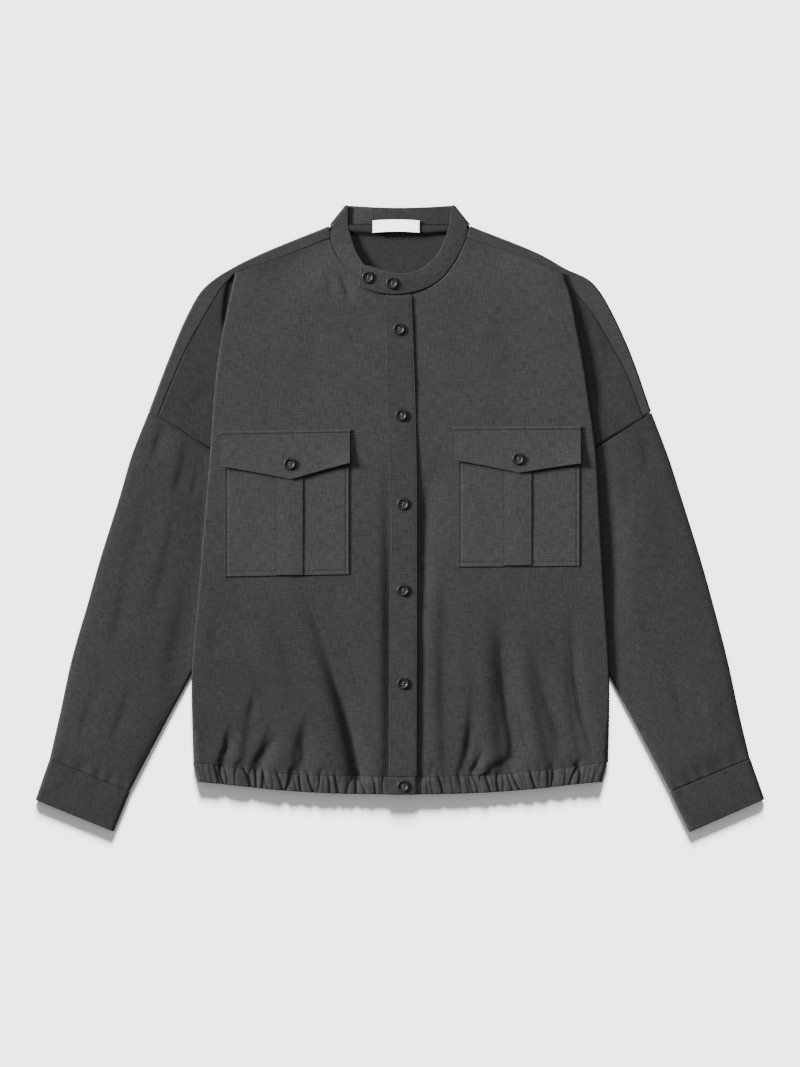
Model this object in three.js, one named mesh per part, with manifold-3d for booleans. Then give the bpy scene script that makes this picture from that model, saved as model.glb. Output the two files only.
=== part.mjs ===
// Button-front jacket of light woven cloth, laid flat with its front up. Millimetres, +Z up.
// The surface that it lies on is z = 0. The middle front is x = 0, and the collar points to +Y.
// Sides are the wearer's: the wearer's right lies at -X.

import * as THREE from "three";
import { mergeVertices } from "three/addons/utils/BufferGeometryUtils.js";
import Module from "manifold-3d";

const wasm = await Module();
wasm.setup();

const { lerp, smoothstep, clamp } = THREE.MathUtils;
const { sin, cos, abs, PI } = Math;

// Driving sizes
const CLOTH = 1.2; // wall of one layer, with the air in its weave
const DOUBLE_CLOTH = 1.6; // wall of the folded and pressed pieces: collar, cuffs, flaps
const BAND_CLOTH = 1.8; // wall of the placket and of the hem band with its elastic
const SEAM_GAP = 0.4;
const FLOOR_LEVEL = CLOTH / 2; // middle of a layer that lies on the surface
const SHOULDER_LEVEL = 5.8; // middle of the upper layer over the shoulder and the upper sleeve
const TUCK_LEVEL = 11.4; // where the front folds under at the shoulder point
const BODY_LEVEL = 13; // middle of the front over the body's hollow
const CUFF_LEVEL = 9; // middle of a sleeve's upper layer at the wrist
const FOLD_RADIUS = 1.7; // bend of the front where it folds under
const HEM_Y = -291; // hem seam at the side
const TUCK_Y = 295; // shoulder point, where the fold starts

// Height y, and how far from the middle each side reaches there.
const FOLD_EDGE = [
  { y: -310, right: 247, left: 249 },
  { y: -235, right: 249, left: 250.5 },
  { y: -180, right: 249, left: 250 },
  { y: -86, right: 241, left: 244 },
  { y: 0, right: 234, left: 239 },
  { y: 82, right: 227, left: 234 },
  { y: 141, right: 223, left: 226 },
  { y: 188, right: 218, left: 219 },
  { y: 230, right: 211, left: 211 },
  { y: 267, right: 203, left: 204 },
  { y: 295, right: 197, left: 194 },
];
const CONTOUR = [
  { y: 351, right: 86, left: 85 },
  { y: 317, right: 168, left: 168 },
  { y: 300, right: 202, left: 198 },
  { y: 286, right: 224, left: 227 },
  { y: 272, right: 239, left: 240 },
  { y: 240, right: 257, left: 258 },
  { y: 195, right: 276, left: 278 },
  { y: 130, right: 301, left: 301 },
  { y: 75, right: 322, left: 324 },
  { y: 27, right: 336, left: 337 },
  { y: -50, right: 360, left: 361 },
  { y: -100, right: 374, left: 375 },
  { y: -170, right: 394, left: 393 },
  { y: -235, right: 408, left: 407 },
  { y: -287.6, right: 420, left: 419.5 },
];
const SHOULDER_SEAM = [
  { y: 337, right: 84, left: 80 },
  { y: 322, right: 120, left: 123 },
  { y: 305, right: 168, left: 168 },
  { y: 295, right: 198, left: 192 },
  { y: 276, right: 215, left: 207 },
  { y: 249, right: 231, left: 230 },
  { y: 211, right: 253, left: 253 },
  { y: 174, right: 270, left: 273 },
  { y: 122.4, right: 291, left: 292.5 },
];
// Side seam below the underarm, and the hidden inner fold of the front above it.
const HIDDEN_EDGE = [
  { y: -310, right: 236, left: 238 },
  { y: -180, right: 213, left: 214 },
  { y: -100, right: 189, left: 189 },
  { y: 30, right: 148, left: 148 },
  { y: 100, right: 160, left: 161 },
  { y: 200, right: 178, left: 178 },
  { y: 295, right: 189, left: 187 },
];
// Distance from the middle, and the heights of the hem band's seam and lower edge there.
const HEM = [
  { x: 0, seam: -310, lower: -331 },
  { x: 65, seam: -309, lower: -330 },
  { x: 113, seam: -307.5, lower: -328 },
  { x: 163, seam: -303, lower: -324 },
  { x: 205, seam: -298, lower: -319.5 },
  { x: 245, seam: -292, lower: -315.5 },
];
// Neck seams of the two fronts, from the middle to the shoulder seam.
const NECK_SEAM = {
  right: [
    { x: -13, y: 270 },
    { x: -30, y: 279 },
    { x: -50, y: 291 },
    { x: -71, y: 308 },
    { x: -80, y: 323 },
    { x: -84, y: 336 },
  ],
  left: [
    { x: 14, y: 270.5 },
    { x: 30, y: 274 },
    { x: 48, y: 285 },
    { x: 60, y: 298 },
    { x: 72, y: 317 },
    { x: 80, y: 336 },
  ],
};
// The placket's free edge and its seam edge at each height.
const PLACKET = [
  { y: 266, free: -17, seam: 14 },
  { y: 166, free: -16, seam: 18 },
  { y: 106, free: -14, seam: 19.5 },
  { y: 46, free: -12.5, seam: 20.5 },
  { y: -14, free: -10.5, seam: 20.5 },
  { y: -98, free: -12, seam: 20.5 },
  { y: -310, free: -13, seam: 20 },
];
// Underarm corner, and where the armhole seam meets the contour of the arm.
const UNDERARM = { x: 148, y: 30 };
const ARMHOLE_TOP = { x: 301.5, y: 128 };
const SLEEVE_INNER = [
  { x: 156, y: 34.3 },
  { x: 203, y: -75 },
  { x: 250, y: -184 },
  { x: 280, y: -241 },
  { x: 309, y: -296 },
  { x: 324.6, y: -326.2 },
];
const CUFF_END = {
  right: { outer: [437, -338], inner: [344.5, -375.5] },
  left: { outer: [437, -337], inner: [348, -376.2] },
};

// Folds of the fronts: troughs (positive depth) and ridges that run down to the hem.
// from and to are heights, x is where the fold lies at its top, middle and foot.
const FRONT_FOLDS = [
  { side: "right", from: -60, to: -310, top: -122, middle: -84, foot: -50, width: 11, depth: 4.2 },
  { side: "right", from: -90, to: -310, top: -98, middle: -66, foot: -36, width: 9, depth: -1.6 },
  { side: "right", from: -200, to: -310, top: -172, middle: -179, foot: -186, width: 8, depth: 1.8 },
  { side: "right", from: -240, to: -310, top: -200, middle: -206, foot: -214, width: 6, depth: 2.4 },
  { side: "right", from: -235, to: -310, top: -148, middle: -160, foot: -178, width: 7, depth: 2.6 },
  { side: "right", from: -240, to: -310, top: -116, middle: -120, foot: -126, width: 7, depth: 2.2 },
  { side: "right", from: 110, to: -310, top: -28, middle: -25, foot: -24, width: 8, depth: 2.6 },
  { side: "left", from: -80, to: -310, top: 115, middle: 117, foot: 121, width: 10, depth: 4.4 },
  { side: "left", from: -130, to: -310, top: 148, middle: 164, foot: 184, width: 10, depth: 3.4 },
  { side: "left", from: -90, to: -310, top: 204, middle: 208, foot: 226, width: 9, depth: 1.8 },
  { side: "left", from: -230, to: -310, top: 92, middle: 84, foot: 74, width: 7, depth: 2.4 },
  { side: "left", from: -250, to: -310, top: 102, middle: 96, foot: 88, width: 6, depth: 2 },
  { side: "left", from: 100, to: -120, top: 62, middle: 32, foot: 24, width: 12, depth: 2.4 },
  { side: "left", from: -40, to: -310, top: 54, middle: 55, foot: 58, width: 9, depth: 1.4 },
];

const COLLAR_BACK = { topX: 65, seamX: 83.5, topY: 376, dip: 373, seamY: 353 };

const SIDES = { right: -1, left: 1 };
const BUTTON_RADIUS = 7.2;
const BUTTON_DEPTH = 2.6;

const POCKETS = {
  right: {
    corner: { x: -214, y: 100.3 }, // upper corner of the flap, on the photo's left
    width: 154,
    slope: 0.018, // rise of the flap's seam across its width
    side: 170, // from the flap's seam to the pocket's lower edge
    point: 0.545, // where the flap's point lies along its width
    drop: { start: 38.5, point: 55, end: 37 }, // from the flap's seam to its lower edge
    pleat: { from: -148, to: -116.5 },
    button: { x: -132, y: 65.5 },
  },
  left: {
    corner: { x: 66, y: 105.5 },
    width: 150.5,
    slope: 0.008,
    side: 163.5,
    point: 0.51,
    drop: { start: 36, point: 51.5, end: 41 },
    pleat: { from: 124.5, to: 157.5 },
    button: { x: 141.4, y: 71.3 },
  },
};

// Smooth value of a table's column at a place between its rows.
function tableValue(rows, key, name, at) {
  const ordered = rows[0][key] < rows[rows.length - 1][key] ? rows : [...rows].reverse();
  const place = clamp(at, ordered[0][key], ordered[ordered.length - 1][key]);
  let i = 0;
  while (i < ordered.length - 2 && place > ordered[i + 1][key]) i += 1;
  const slope = (k) => {
    const low = ordered[Math.max(k - 1, 0)];
    const high = ordered[Math.min(k + 1, ordered.length - 1)];
    return (high[name] - low[name]) / (high[key] - low[key]);
  };
  const [a, b] = [ordered[i], ordered[i + 1]];
  const span = b[key] - a[key];
  const t = (place - a[key]) / span;
  const bend = t * t * (3 - 2 * t);
  const leave = t * (1 - t) * (1 - t) * span * slope(i);
  const arrive = t * t * (t - 1) * span * slope(i + 1);
  return lerp(a[name], b[name], bend) + leave + arrive;
}

// A smooth plan curve through points, read by its share of the length from 0 to 1.
function planCurve(points) {
  const places = points.map(([x, y]) => new THREE.Vector3(x, y, 0));
  const curve = new THREE.CatmullRomCurve3(places, false, "centripetal");
  return (share) => curve.getPointAt(clamp(share, 0, 1));
}

// Height of the fronts without their folds.
function frontLevel(x, y) {
  const shoulderLine = 366 - 0.36 * abs(x);
  const seamLevel = lerp(SHOULDER_LEVEL, TUCK_LEVEL, smoothstep(abs(x), 105, 185));
  return lerp(seamLevel, BODY_LEVEL, smoothstep(shoulderLine - y, 0, 70));
}

// Depth of the folds of one front at a point.
function foldDepth(side, x, y) {
  let depth = 0;
  for (const fold of FRONT_FOLDS) {
    if (fold.side !== side) continue;
    const along = clamp((fold.from - y) / (fold.from - fold.to), 0, 1);
    const ends = fold.top * (1 - along) * (1 - 2 * along) + fold.foot * along * (2 * along - 1);
    const centre = ends + fold.middle * 4 * along * (1 - along);
    const across = Math.exp(-(((x - centre) / fold.width) ** 2));
    const fadeOut = fold.to > HEM_Y ? 1 - smoothstep(along, 0.7, 1) : 1;
    depth += fold.depth * across * smoothstep(along, 0, 0.55) * fadeOut;
  }
  return depth;
}

// A closed wall round a grid of middle points. Each row holds the same number of points.
// With ring, the last column joins the first.
function wall(rows, thickness, ring = false) {
  const rowCount = rows.length;
  const columnCount = rows[0].length;
  const positions = [];
  const normal = new THREE.Vector3();
  const step = (k, move) => {
    if (ring) return (k + move + columnCount) % columnCount;
    return clamp(k + move, 0, columnCount - 1);
  };
  for (const face of [1, -1]) {
    for (let j = 0; j < rowCount; j += 1) {
      for (let i = 0; i < columnCount; i += 1) {
        const point = rows[j][i];
        const ahead = rows[j][step(i, 1)].clone().sub(point).normalize();
        const behind = point.clone().sub(rows[j][step(i, -1)]).normalize();
        const along = rows[Math.min(j + 1, rowCount - 1)][i].clone().sub(rows[Math.max(j - 1, 0)][i]);
        normal.crossVectors(ahead.add(behind), along).normalize();
        const half = (typeof thickness === "number" ? thickness : thickness(i, j)) / 2;
        positions.push(point.clone().addScaledVector(normal, face * half));
      }
    }
  }
  const layer = rowCount * columnCount;
  const index = (face, j, i) => face * layer + j * columnCount + (i % columnCount);
  const triangles = [];
  const quad = (a, b, c, d) => triangles.push(a, b, c, a, c, d);
  const spans = ring ? columnCount : columnCount - 1;
  for (let j = 0; j < rowCount - 1; j += 1) {
    for (let i = 0; i < spans; i += 1) {
      quad(index(0, j, i), index(0, j, i + 1), index(0, j + 1, i + 1), index(0, j + 1, i));
      quad(index(1, j, i), index(1, j + 1, i), index(1, j + 1, i + 1), index(1, j, i + 1));
    }
  }
  for (let i = 0; i < spans; i += 1) {
    quad(index(0, 0, i + 1), index(0, 0, i), index(1, 0, i), index(1, 0, i + 1));
    const last = rowCount - 1;
    quad(index(0, last, i), index(0, last, i + 1), index(1, last, i + 1), index(1, last, i));
  }
  if (!ring) {
    for (let j = 0; j < rowCount - 1; j += 1) {
      const last = columnCount - 1;
      quad(index(0, j, 0), index(0, j + 1, 0), index(1, j + 1, 0), index(1, j, 0));
      quad(index(0, j + 1, last), index(0, j, last), index(1, j, last), index(1, j + 1, last));
    }
  }
  return outward(positions, triangles);
}

// A geometry whose faces point out, whichever way the grid was wound.
function outward(positions, triangles) {
  let volume = 0;
  for (let k = 0; k < triangles.length; k += 3) {
    const [a, b, c] = [0, 1, 2].map((corner) => positions[triangles[k + corner]]);
    volume += a.dot(b.clone().cross(c));
  }
  if (volume < 0) {
    for (let k = 0; k < triangles.length; k += 3) {
      [triangles[k + 1], triangles[k + 2]] = [triangles[k + 2], triangles[k + 1]];
    }
  }
  const geometry = new THREE.BufferGeometry().setFromPoints(positions);
  geometry.setIndex(triangles);
  return geometry;
}

function solidOf(geometry) {
  const merged = mergeVertices(geometry.clone(), 1e-4);
  return new wasm.Manifold(
    new wasm.Mesh({
      numProp: 3,
      vertProperties: new Float32Array(merged.attributes.position.array),
      triVerts: new Uint32Array(merged.index.array),
    }),
  );
}

// One body made of walls that run into each other.
function joined(...geometries) {
  const solids = geometries.map(solidOf);
  const mesh = solids.slice(1).reduce((whole, next) => whole.add(next), solids[0]).getMesh();
  const geometry = new THREE.BufferGeometry();
  geometry.setAttribute("position", new THREE.BufferAttribute(new Float32Array(mesh.vertProperties), 3));
  geometry.setIndex(Array.from(mesh.triVerts));
  return geometry;
}

// Points of a bend that turns a layer over, in the upright plane through direction.
// It starts on the upper or lower layer, and centre is level with the bend's middle.
function bend(centre, direction, radius, fromTop, count) {
  const points = [];
  for (let k = 1; k < count; k += 1) {
    const angle = (fromTop ? 1 : -1) * PI * (0.5 - k / count);
    points.push(
      new THREE.Vector3(
        centre.x + direction.x * radius * cos(angle),
        centre.y + direction.y * radius * cos(angle),
        centre.z + radius * sin(angle),
      ),
    );
  }
  return points;
}

const shares = (count, power = 1) => Array.from({ length: count + 1 }, (_, k) => (k / count) ** power);

// The front: a patch between the hem, the middle, the neck and shoulder seams and the fold.
function frontOutline(side) {
  const sign = SIDES[side];
  const neck = NECK_SEAM[side].map(({ x, y }) => [x, y - SEAM_GAP]);
  const shoulder = SHOULDER_SEAM.filter(({ y }) => y < 336 && y >= TUCK_Y).map((row) => [
    sign * row[side],
    row.y - SEAM_GAP * 2,
  ]);
  shoulder[shoulder.length - 1][0] = sign * (tableValue(FOLD_EDGE, "y", side, TUCK_Y) - FOLD_RADIUS);
  const neckCurve = planCurve(neck);
  const shoulderCurve = planCurve([neck[neck.length - 1], ...shoulder]);
  const neckShare = 0.44;
  const top = (u) => {
    if (u < neckShare) return neckCurve(u / neckShare);
    return shoulderCurve((u - neckShare) / (1 - neckShare));
  };
  const underPlacket = 4;
  const middleX = (y) => {
    if (side === "left") return tableValue(PLACKET, "y", "seam", y) - underPlacket;
    return lerp(8, neck[0][0], smoothstep(y, 150, 270));
  };
  const middle = (v) => {
    const y = lerp(-310 + SEAM_GAP, neck[0][1], v);
    return new THREE.Vector3(v === 1 ? neck[0][0] : middleX(y), y, 0);
  };
  const hemEnd = tableValue(FOLD_EDGE, "y", side, HEM_Y) - foldRadius(HEM_Y);
  const hem = (u) => {
    const x = lerp(middleX(-310), sign * hemEnd, u);
    return new THREE.Vector3(x, tableValue(HEM, "x", "seam", abs(x)) + SEAM_GAP, 0);
  };
  const edge = (v) => {
    const y = lerp(hem(1).y, TUCK_Y - SEAM_GAP * 2, v);
    return new THREE.Vector3(sign * (tableValue(FOLD_EDGE, "y", side, y) - foldRadius(y)), y, 0);
  };
  return { hem, top, middle, edge };
}

// The bend widens at the hem, where the front turns straight down to the back.
function foldRadius(y) {
  const hemRadius = (BODY_LEVEL - FLOOR_LEVEL) / 2;
  return lerp(FOLD_RADIUS, hemRadius, smoothstep(-y, 215, 285));
}

function patchPoint({ hem, top, middle, edge }, u, v) {
  const point = new THREE.Vector3();
  point.addScaledVector(hem(u), 1 - v).addScaledVector(top(u), v);
  point.addScaledVector(middle(v), 1 - u).addScaledVector(edge(v), u);
  point.addScaledVector(hem(0), -(1 - u) * (1 - v)).addScaledVector(hem(1), -u * (1 - v));
  return point.addScaledVector(top(0), -(1 - u) * v).addScaledVector(top(1), -u * v);
}

const FRONT_COLUMNS = 21;
const FRONT_ROWS = 23;
const BEND_STEPS = 4;

function makeFront(side) {
  const sign = SIDES[side];
  const outline = frontOutline(side);
  const out = new THREE.Vector3(sign, 0, 0);
  const rows = shares(FRONT_ROWS, 1.2).map((v) => {
    const row = shares(FRONT_COLUMNS).map((u) => {
      const point = patchPoint(outline, u, v);
      const level = frontLevel(point.x, point.y);
      const folds = foldDepth(side, point.x, point.y) * (1 - smoothstep(u, 0.93, 1));
      return point.setZ(level - folds);
    });
    const last = row[row.length - 1];
    const radius = foldRadius(last.y);
    row.push(...bend(last.clone().setZ(last.z - radius), out, radius, true, BEND_STEPS));
    return row.concat(underLayer(side, last.clone().setZ(last.z - 2 * radius)));
  });
  return joined(wall(rows, CLOTH), hiddenLayer(side));
}

// From the fold back under to the side seam, or above the underarm to the hidden inner fold.
function underLayer(side, start) {
  const sign = SIDES[side];
  const seam = hiddenEdgePoint(side, start.y);
  const seamDrop = smoothstep(UNDERARM.y - start.y, 0, 45);
  const overSleeve = clamp((abs(start.x) - innerSleeveX(start.y)) / (abs(start.x) - abs(seam.x)), 0.12, 0.9);
  const kneeShare = lerp(0.5, overSleeve, seamDrop);
  return [0, kneeShare, (kneeShare + 1) / 2, 1].map((share) => {
    const drop = smoothstep(share, kneeShare, 1) * seamDrop;
    const x = lerp(start.x, sign * abs(seam.x), share);
    return new THREE.Vector3(x, start.y, lerp(start.z, FLOOR_LEVEL, drop));
  });
}

function hiddenEdgePoint(side, y) {
  return new THREE.Vector3(SIDES[side] * tableValue(HIDDEN_EDGE, "y", side, y), y, 0);
}

function innerSleeveX(y) {
  const rows = SLEEVE_INNER.filter((row) => row.y > -300);
  return tableValue(rows, "y", "x", y);
}

// The shoulder seam in two stretches, which meet at the shoulder point.
const NECK_ROWS = 6;
const ARM_ROWS = 8;

function shoulderSeam(side) {
  const place = (row) => [SIDES[side] * row[side], row.y];
  return {
    neckSeam: planCurve(SHOULDER_SEAM.filter(({ y }) => y >= TUCK_Y).map(place)),
    armSeam: planCurve(SHOULDER_SEAM.filter(({ y }) => y <= TUCK_Y).map(place)),
  };
}

// The part of the front over the arm, between the hidden inner fold and the shoulder seam.
function hiddenLayer(side) {
  const grip = 5;
  const { armSeam } = shoulderSeam(side);
  const rows = shares(ARM_ROWS).map((w) => {
    const inner = hiddenEdgePoint(side, lerp(TUCK_Y - 4, UNDERARM.y + 7, w));
    const seam = armSeam(w);
    const direction = inner.clone().sub(seam).setZ(0).normalize();
    seam.addScaledVector(direction, SEAM_GAP);
    const upper = frontLevel(inner.x, inner.y) - 2 * FOLD_RADIUS;
    const radius = (upper - SHOULDER_LEVEL) / 2;
    const turn = inner.clone().addScaledVector(direction, -radius);
    const gripped = turn.clone().addScaledVector(direction, -grip);
    const row = [gripped.setZ(upper), turn.clone().setZ(upper)];
    row.push(...bend(turn.clone().setZ(upper - radius), direction, radius, true, BEND_STEPS));
    for (const share of shares(4)) {
      row.push(turn.clone().lerp(seam, share).setZ(SHOULDER_LEVEL));
    }
    return row;
  });
  return wall(rows, (i) => (i < 2 ? CLOTH * 0.8 : CLOTH));
}

// Places, from the middle, of the flat stations that the back and its hem band share.
const BACK_HEM_PLACES = [0, 60, 120, 180, 225];

// The back: a flat plate on the surface, with a strip on each side that comes over the shoulder.
function shoulderRows(side) {
  const sign = SIDES[side];
  const contour = CONTOUR.filter(({ y }) => y >= 130).map((row) => [sign * row[side], row.y]);
  contour[0][1] -= SEAM_GAP;
  contour[contour.length - 1] = [sign * (ARMHOLE_TOP.x - 0.2), ARMHOLE_TOP.y + SEAM_GAP];
  const outer = planCurve(contour);
  const { neckSeam, armSeam } = shoulderSeam(side);
  const seam = [...shares(NECK_ROWS).map(neckSeam), ...shares(ARM_ROWS).slice(1).map(armSeam)];
  const neckShare = 0.47;
  const outerShare = (k) => {
    if (k < NECK_ROWS) return (neckShare * k) / NECK_ROWS;
    return lerp(neckShare, 1, (k - NECK_ROWS) / ARM_ROWS);
  };
  return seam.map((point, k) => ({ outer: outer(outerShare(k)), seam: point }));
}

function makeBack() {
  const radius = (SHOULDER_LEVEL - FLOOR_LEVEL) / 2;
  const grip = 5;
  const strips = [];
  const plate = {};
  for (const side of Object.keys(SIDES)) {
    plate[side] = [];
    const rows = shoulderRows(side).map(({ outer, seam }) => {
      const direction = outer.clone().sub(seam).normalize();
      const turn = outer.clone().addScaledVector(direction, -radius);
      plate[side].push([turn.x, turn.y]);
      const gripped = turn.clone().addScaledVector(direction, -grip);
      const row = [gripped.setZ(FLOOR_LEVEL), turn.clone().setZ(FLOOR_LEVEL)];
      row.push(...bend(turn.clone().setZ(FLOOR_LEVEL + radius), direction, radius, false, BEND_STEPS));
      const end = seam.clone().addScaledVector(direction, SEAM_GAP);
      for (const share of shares(2)) {
        row.push(turn.clone().lerp(end, share).setZ(SHOULDER_LEVEL));
      }
      return row;
    });
    strips.push(wall(rows, (i) => (i === 0 ? CLOTH * 0.8 : CLOTH)));
    plate[side].push([SIDES[side] * UNDERARM.x, UNDERARM.y + SEAM_GAP]);
    for (const y of [0, -30, -60, -95, -140, -200, -250, HEM_Y + 0.5]) {
      plate[side].push([hiddenEdgePoint(side, y).x - SIDES[side] * SEAM_GAP * 2, y]);
    }
  }
  const hem = BACK_HEM_PLACES.map((x) => [x, tableValue(HEM, "x", "seam", x) + SEAM_GAP]);
  const neckY = COLLAR_BACK.seamY - SEAM_GAP;
  const neck = [COLLAR_BACK.seamX, -COLLAR_BACK.seamX].map((x) => [x, neckY]);
  const outline = [
    ...neck,
    ...plate.right,
    ...hem.slice(1).reverse().map(([x, y]) => [-x, y]),
    ...hem,
    ...[...plate.left].reverse(),
  ];
  const shape = new THREE.Shape(outline.map(([x, y]) => new THREE.Vector2(x, y)));
  const flat = new THREE.ExtrudeGeometry(shape, { depth: CLOTH, bevelEnabled: false });
  flat.deleteAttribute("normal");
  flat.deleteAttribute("uv");
  return joined(mergeVertices(flat, 1e-4), ...strips);
}

// A flattened tube: bend on the outer edge, upper layer, bend on the inner edge, lower layer.
function tubeRow(outer, inner, level, thickness, puff, columns) {
  const floor = thickness / 2;
  const radius = (level - floor) / 2;
  const direction = inner.clone().sub(outer).normalize();
  const outerTurn = outer.clone().addScaledVector(direction, radius);
  const innerTurn = inner.clone().addScaledVector(direction, -radius);
  const row = shares(columns).map((share) => {
    const point = outerTurn.clone().lerp(innerTurn, share);
    return point.setZ(level + puff(share, point));
  });
  row.push(...bend(innerTurn.clone().setZ(floor + radius), direction, radius, true, BEND_STEPS));
  for (const share of shares(3)) {
    row.push(innerTurn.clone().lerp(outerTurn, share).setZ(floor));
  }
  const back = direction.clone().negate();
  row.push(...bend(outerTurn.clone().setZ(floor + radius), back, radius, false, BEND_STEPS));
  return row;
}

// Creases of the sleeves: s is the place across from the outer edge, v the place along.
const SLEEVE_CREASES = [
  { s: 0.12, v: 0.06, long: 0.1, width: 0.05, depth: 0.9 },
  { s: 0.3, v: 0.12, long: 0.2, width: 0.06, depth: 1.1 },
];

function sleevePuff(side, v, share, point) {
  const beyondFold = abs(point.x) - tableValue(FOLD_EDGE, "y", side, Math.max(point.y, -310));
  const rise = 3 * smoothstep(beyondFold, 0, 45) * Math.sqrt(4 * share * (1 - share));
  let crease = 0;
  for (const c of SLEEVE_CREASES) {
    const away = ((share - c.s) / c.width) ** 2 + ((v - c.v) / c.long) ** 2;
    crease += c.depth * Math.exp(-away);
  }
  const inside = share > 0 && share < 1 ? 1 : 0;
  return rise * (1 - smoothstep(v, 0.93, 1)) - inside * crease * smoothstep(beyondFold, 0, 20);
}

function makeSleeve(side) {
  const sign = SIDES[side];
  const outer = planCurve([
    [sign * ARMHOLE_TOP.x, ARMHOLE_TOP.y - 1.5 * SEAM_GAP],
    ...CONTOUR.filter(({ y }) => y < 120).map((row) => [sign * row[side], row.y]),
  ]);
  const inner = planCurve(SLEEVE_INNER.map(({ x, y }) => [sign * x, y]));
  const rows = shares(16).map((v) => {
    const level = lerp(SHOULDER_LEVEL, CUFF_LEVEL, smoothstep(v, 0.55, 1));
    const puff = (share, point) => sleevePuff(side, v, share, point);
    return tubeRow(outer(v), inner(v), level, CLOTH, puff, 8);
  });
  return wall(rows, CLOTH, true);
}

function makeCuff(side) {
  const sign = SIDES[side];
  const wrist = { outer: [420, -288.5], inner: [325, -328] };
  const { outer, inner } = CUFF_END[side];
  const rows = shares(3).map((v) => {
    const place = (from, to) => {
      const [x, y] = [0, 1].map((axis) => lerp(from[axis], to[axis], v));
      return new THREE.Vector3(sign * x, y, 0);
    };
    const outerPoint = place(wrist.outer, outer);
    const innerPoint = place(wrist.inner, inner);
    const flatPuff = (share) => 0.8 * Math.sqrt(4 * share * (1 - share)) * sin(PI * v);
    return tubeRow(outerPoint, innerPoint, CUFF_LEVEL, DOUBLE_CLOTH, flatPuff, 6);
  });
  return wall(rows, DOUBLE_CLOTH, true);
}

// The hem band: gathers on the front, flat on the surface behind, a plain end on the middle front.
const GATHERS_A_SIDE = 22;
const TAB_LIFT = 2.6;
const GATHER_DEPTH = 1.3;

function gatherPlace(k, from, to) {
  const even = (k + 0.5) / (2 * GATHERS_A_SIDE);
  const uneven = 0.006 * sin(k * 2.4) + 0.005 * sin(k * 0.9 + 1);
  return lerp(from, to, clamp(even + uneven, 0, 1));
}

function makeHemBand() {
  const stations = [];
  const front = (side, x, gather, lift = 0) => stations.push({ side, x, gather, lift, part: "front" });
  const sideEnd = { right: 0, left: 0 };
  const radius = (BODY_LEVEL - BAND_CLOTH / 2) / 2;
  for (const side of Object.keys(SIDES)) {
    sideEnd[side] = SIDES[side] * (245 - radius);
  }
  front("right", 8, 0);
  front("right", -16, 0);
  for (let k = 0; k < 2 * GATHERS_A_SIDE; k += 1) {
    front("right", gatherPlace(k, -18, sideEnd.right + 2), k % 2 ? -1 : 1 - 0.4 * abs(sin(k * 1.7)));
  }
  front("right", sideEnd.right, 0);
  for (const k of [1, 2, 3]) stations.push({ side: "right", turn: k / 4, part: "bend" });
  const backPlaces = [...BACK_HEM_PLACES.slice(1).reverse().map((x) => -x), ...BACK_HEM_PLACES];
  for (const x of [sideEnd.right, ...backPlaces, sideEnd.left]) stations.push({ x, part: "back" });
  for (const k of [3, 2, 1]) stations.push({ side: "left", turn: k / 4, part: "bend" });
  front("left", sideEnd.left, 0);
  for (let k = 2 * GATHERS_A_SIDE - 1; k >= 0; k -= 1) {
    front("left", gatherPlace(k, 26, sideEnd.left - 2), k % 2 ? -1 : 1 - 0.4 * abs(sin(k * 2.3)));
  }
  front("left", 22.5, 0);
  front("left", 18, 0, TAB_LIFT);
  front("left", 4, 0, TAB_LIFT);
  front("left", -13, 0, TAB_LIFT);
  const acrossShares = [0, 0.33, 0.67, 1];
  const swell = [0.35, 1, 1, 0.5];
  const rows = acrossShares.map((across, j) =>
    stations.map((station) => {
      const edge = (x) => {
        const [seam, lower] = ["seam", "lower"].map((name) => tableValue(HEM, "x", name, abs(x)));
        return lerp(seam, lower, across);
      };
      if (station.part === "back") return new THREE.Vector3(station.x, edge(station.x), BAND_CLOTH / 2);
      if (station.part === "bend") {
        const angle = PI * (0.5 - station.turn);
        const x = sideEnd[station.side];
        const reach = SIDES[station.side] * radius * cos(angle);
        return new THREE.Vector3(x + reach, edge(x), BAND_CLOTH / 2 + radius + radius * sin(angle));
      }
      const { side, x } = station;
      const flatEnd = abs(x) > 236 ? 0 : foldDepth(side, x, edge(x)) * (1 - 0.5 * across);
      const height = BODY_LEVEL - flatEnd + GATHER_DEPTH * station.gather * swell[j] + station.lift;
      return new THREE.Vector3(x + station.gather * across * 0.8, edge(x), height);
    }),
  );
  return wall(rows, BAND_CLOTH);
}

// The placket lies on both fronts.
const PLACKET_LIFT = 2.1;

function makePlacket() {
  const rows = shares(12).map((v) => {
    const y = lerp(-310 + SEAM_GAP + 0.2, 266, v);
    return shares(3).map((u) => {
      const x = lerp(tableValue(PLACKET, "y", "free", y), tableValue(PLACKET, "y", "seam", y), u);
      return new THREE.Vector3(x, y, frontLevel(x, y) + PLACKET_LIFT);
    });
  });
  return wall(rows, BAND_CLOTH);
}

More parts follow.
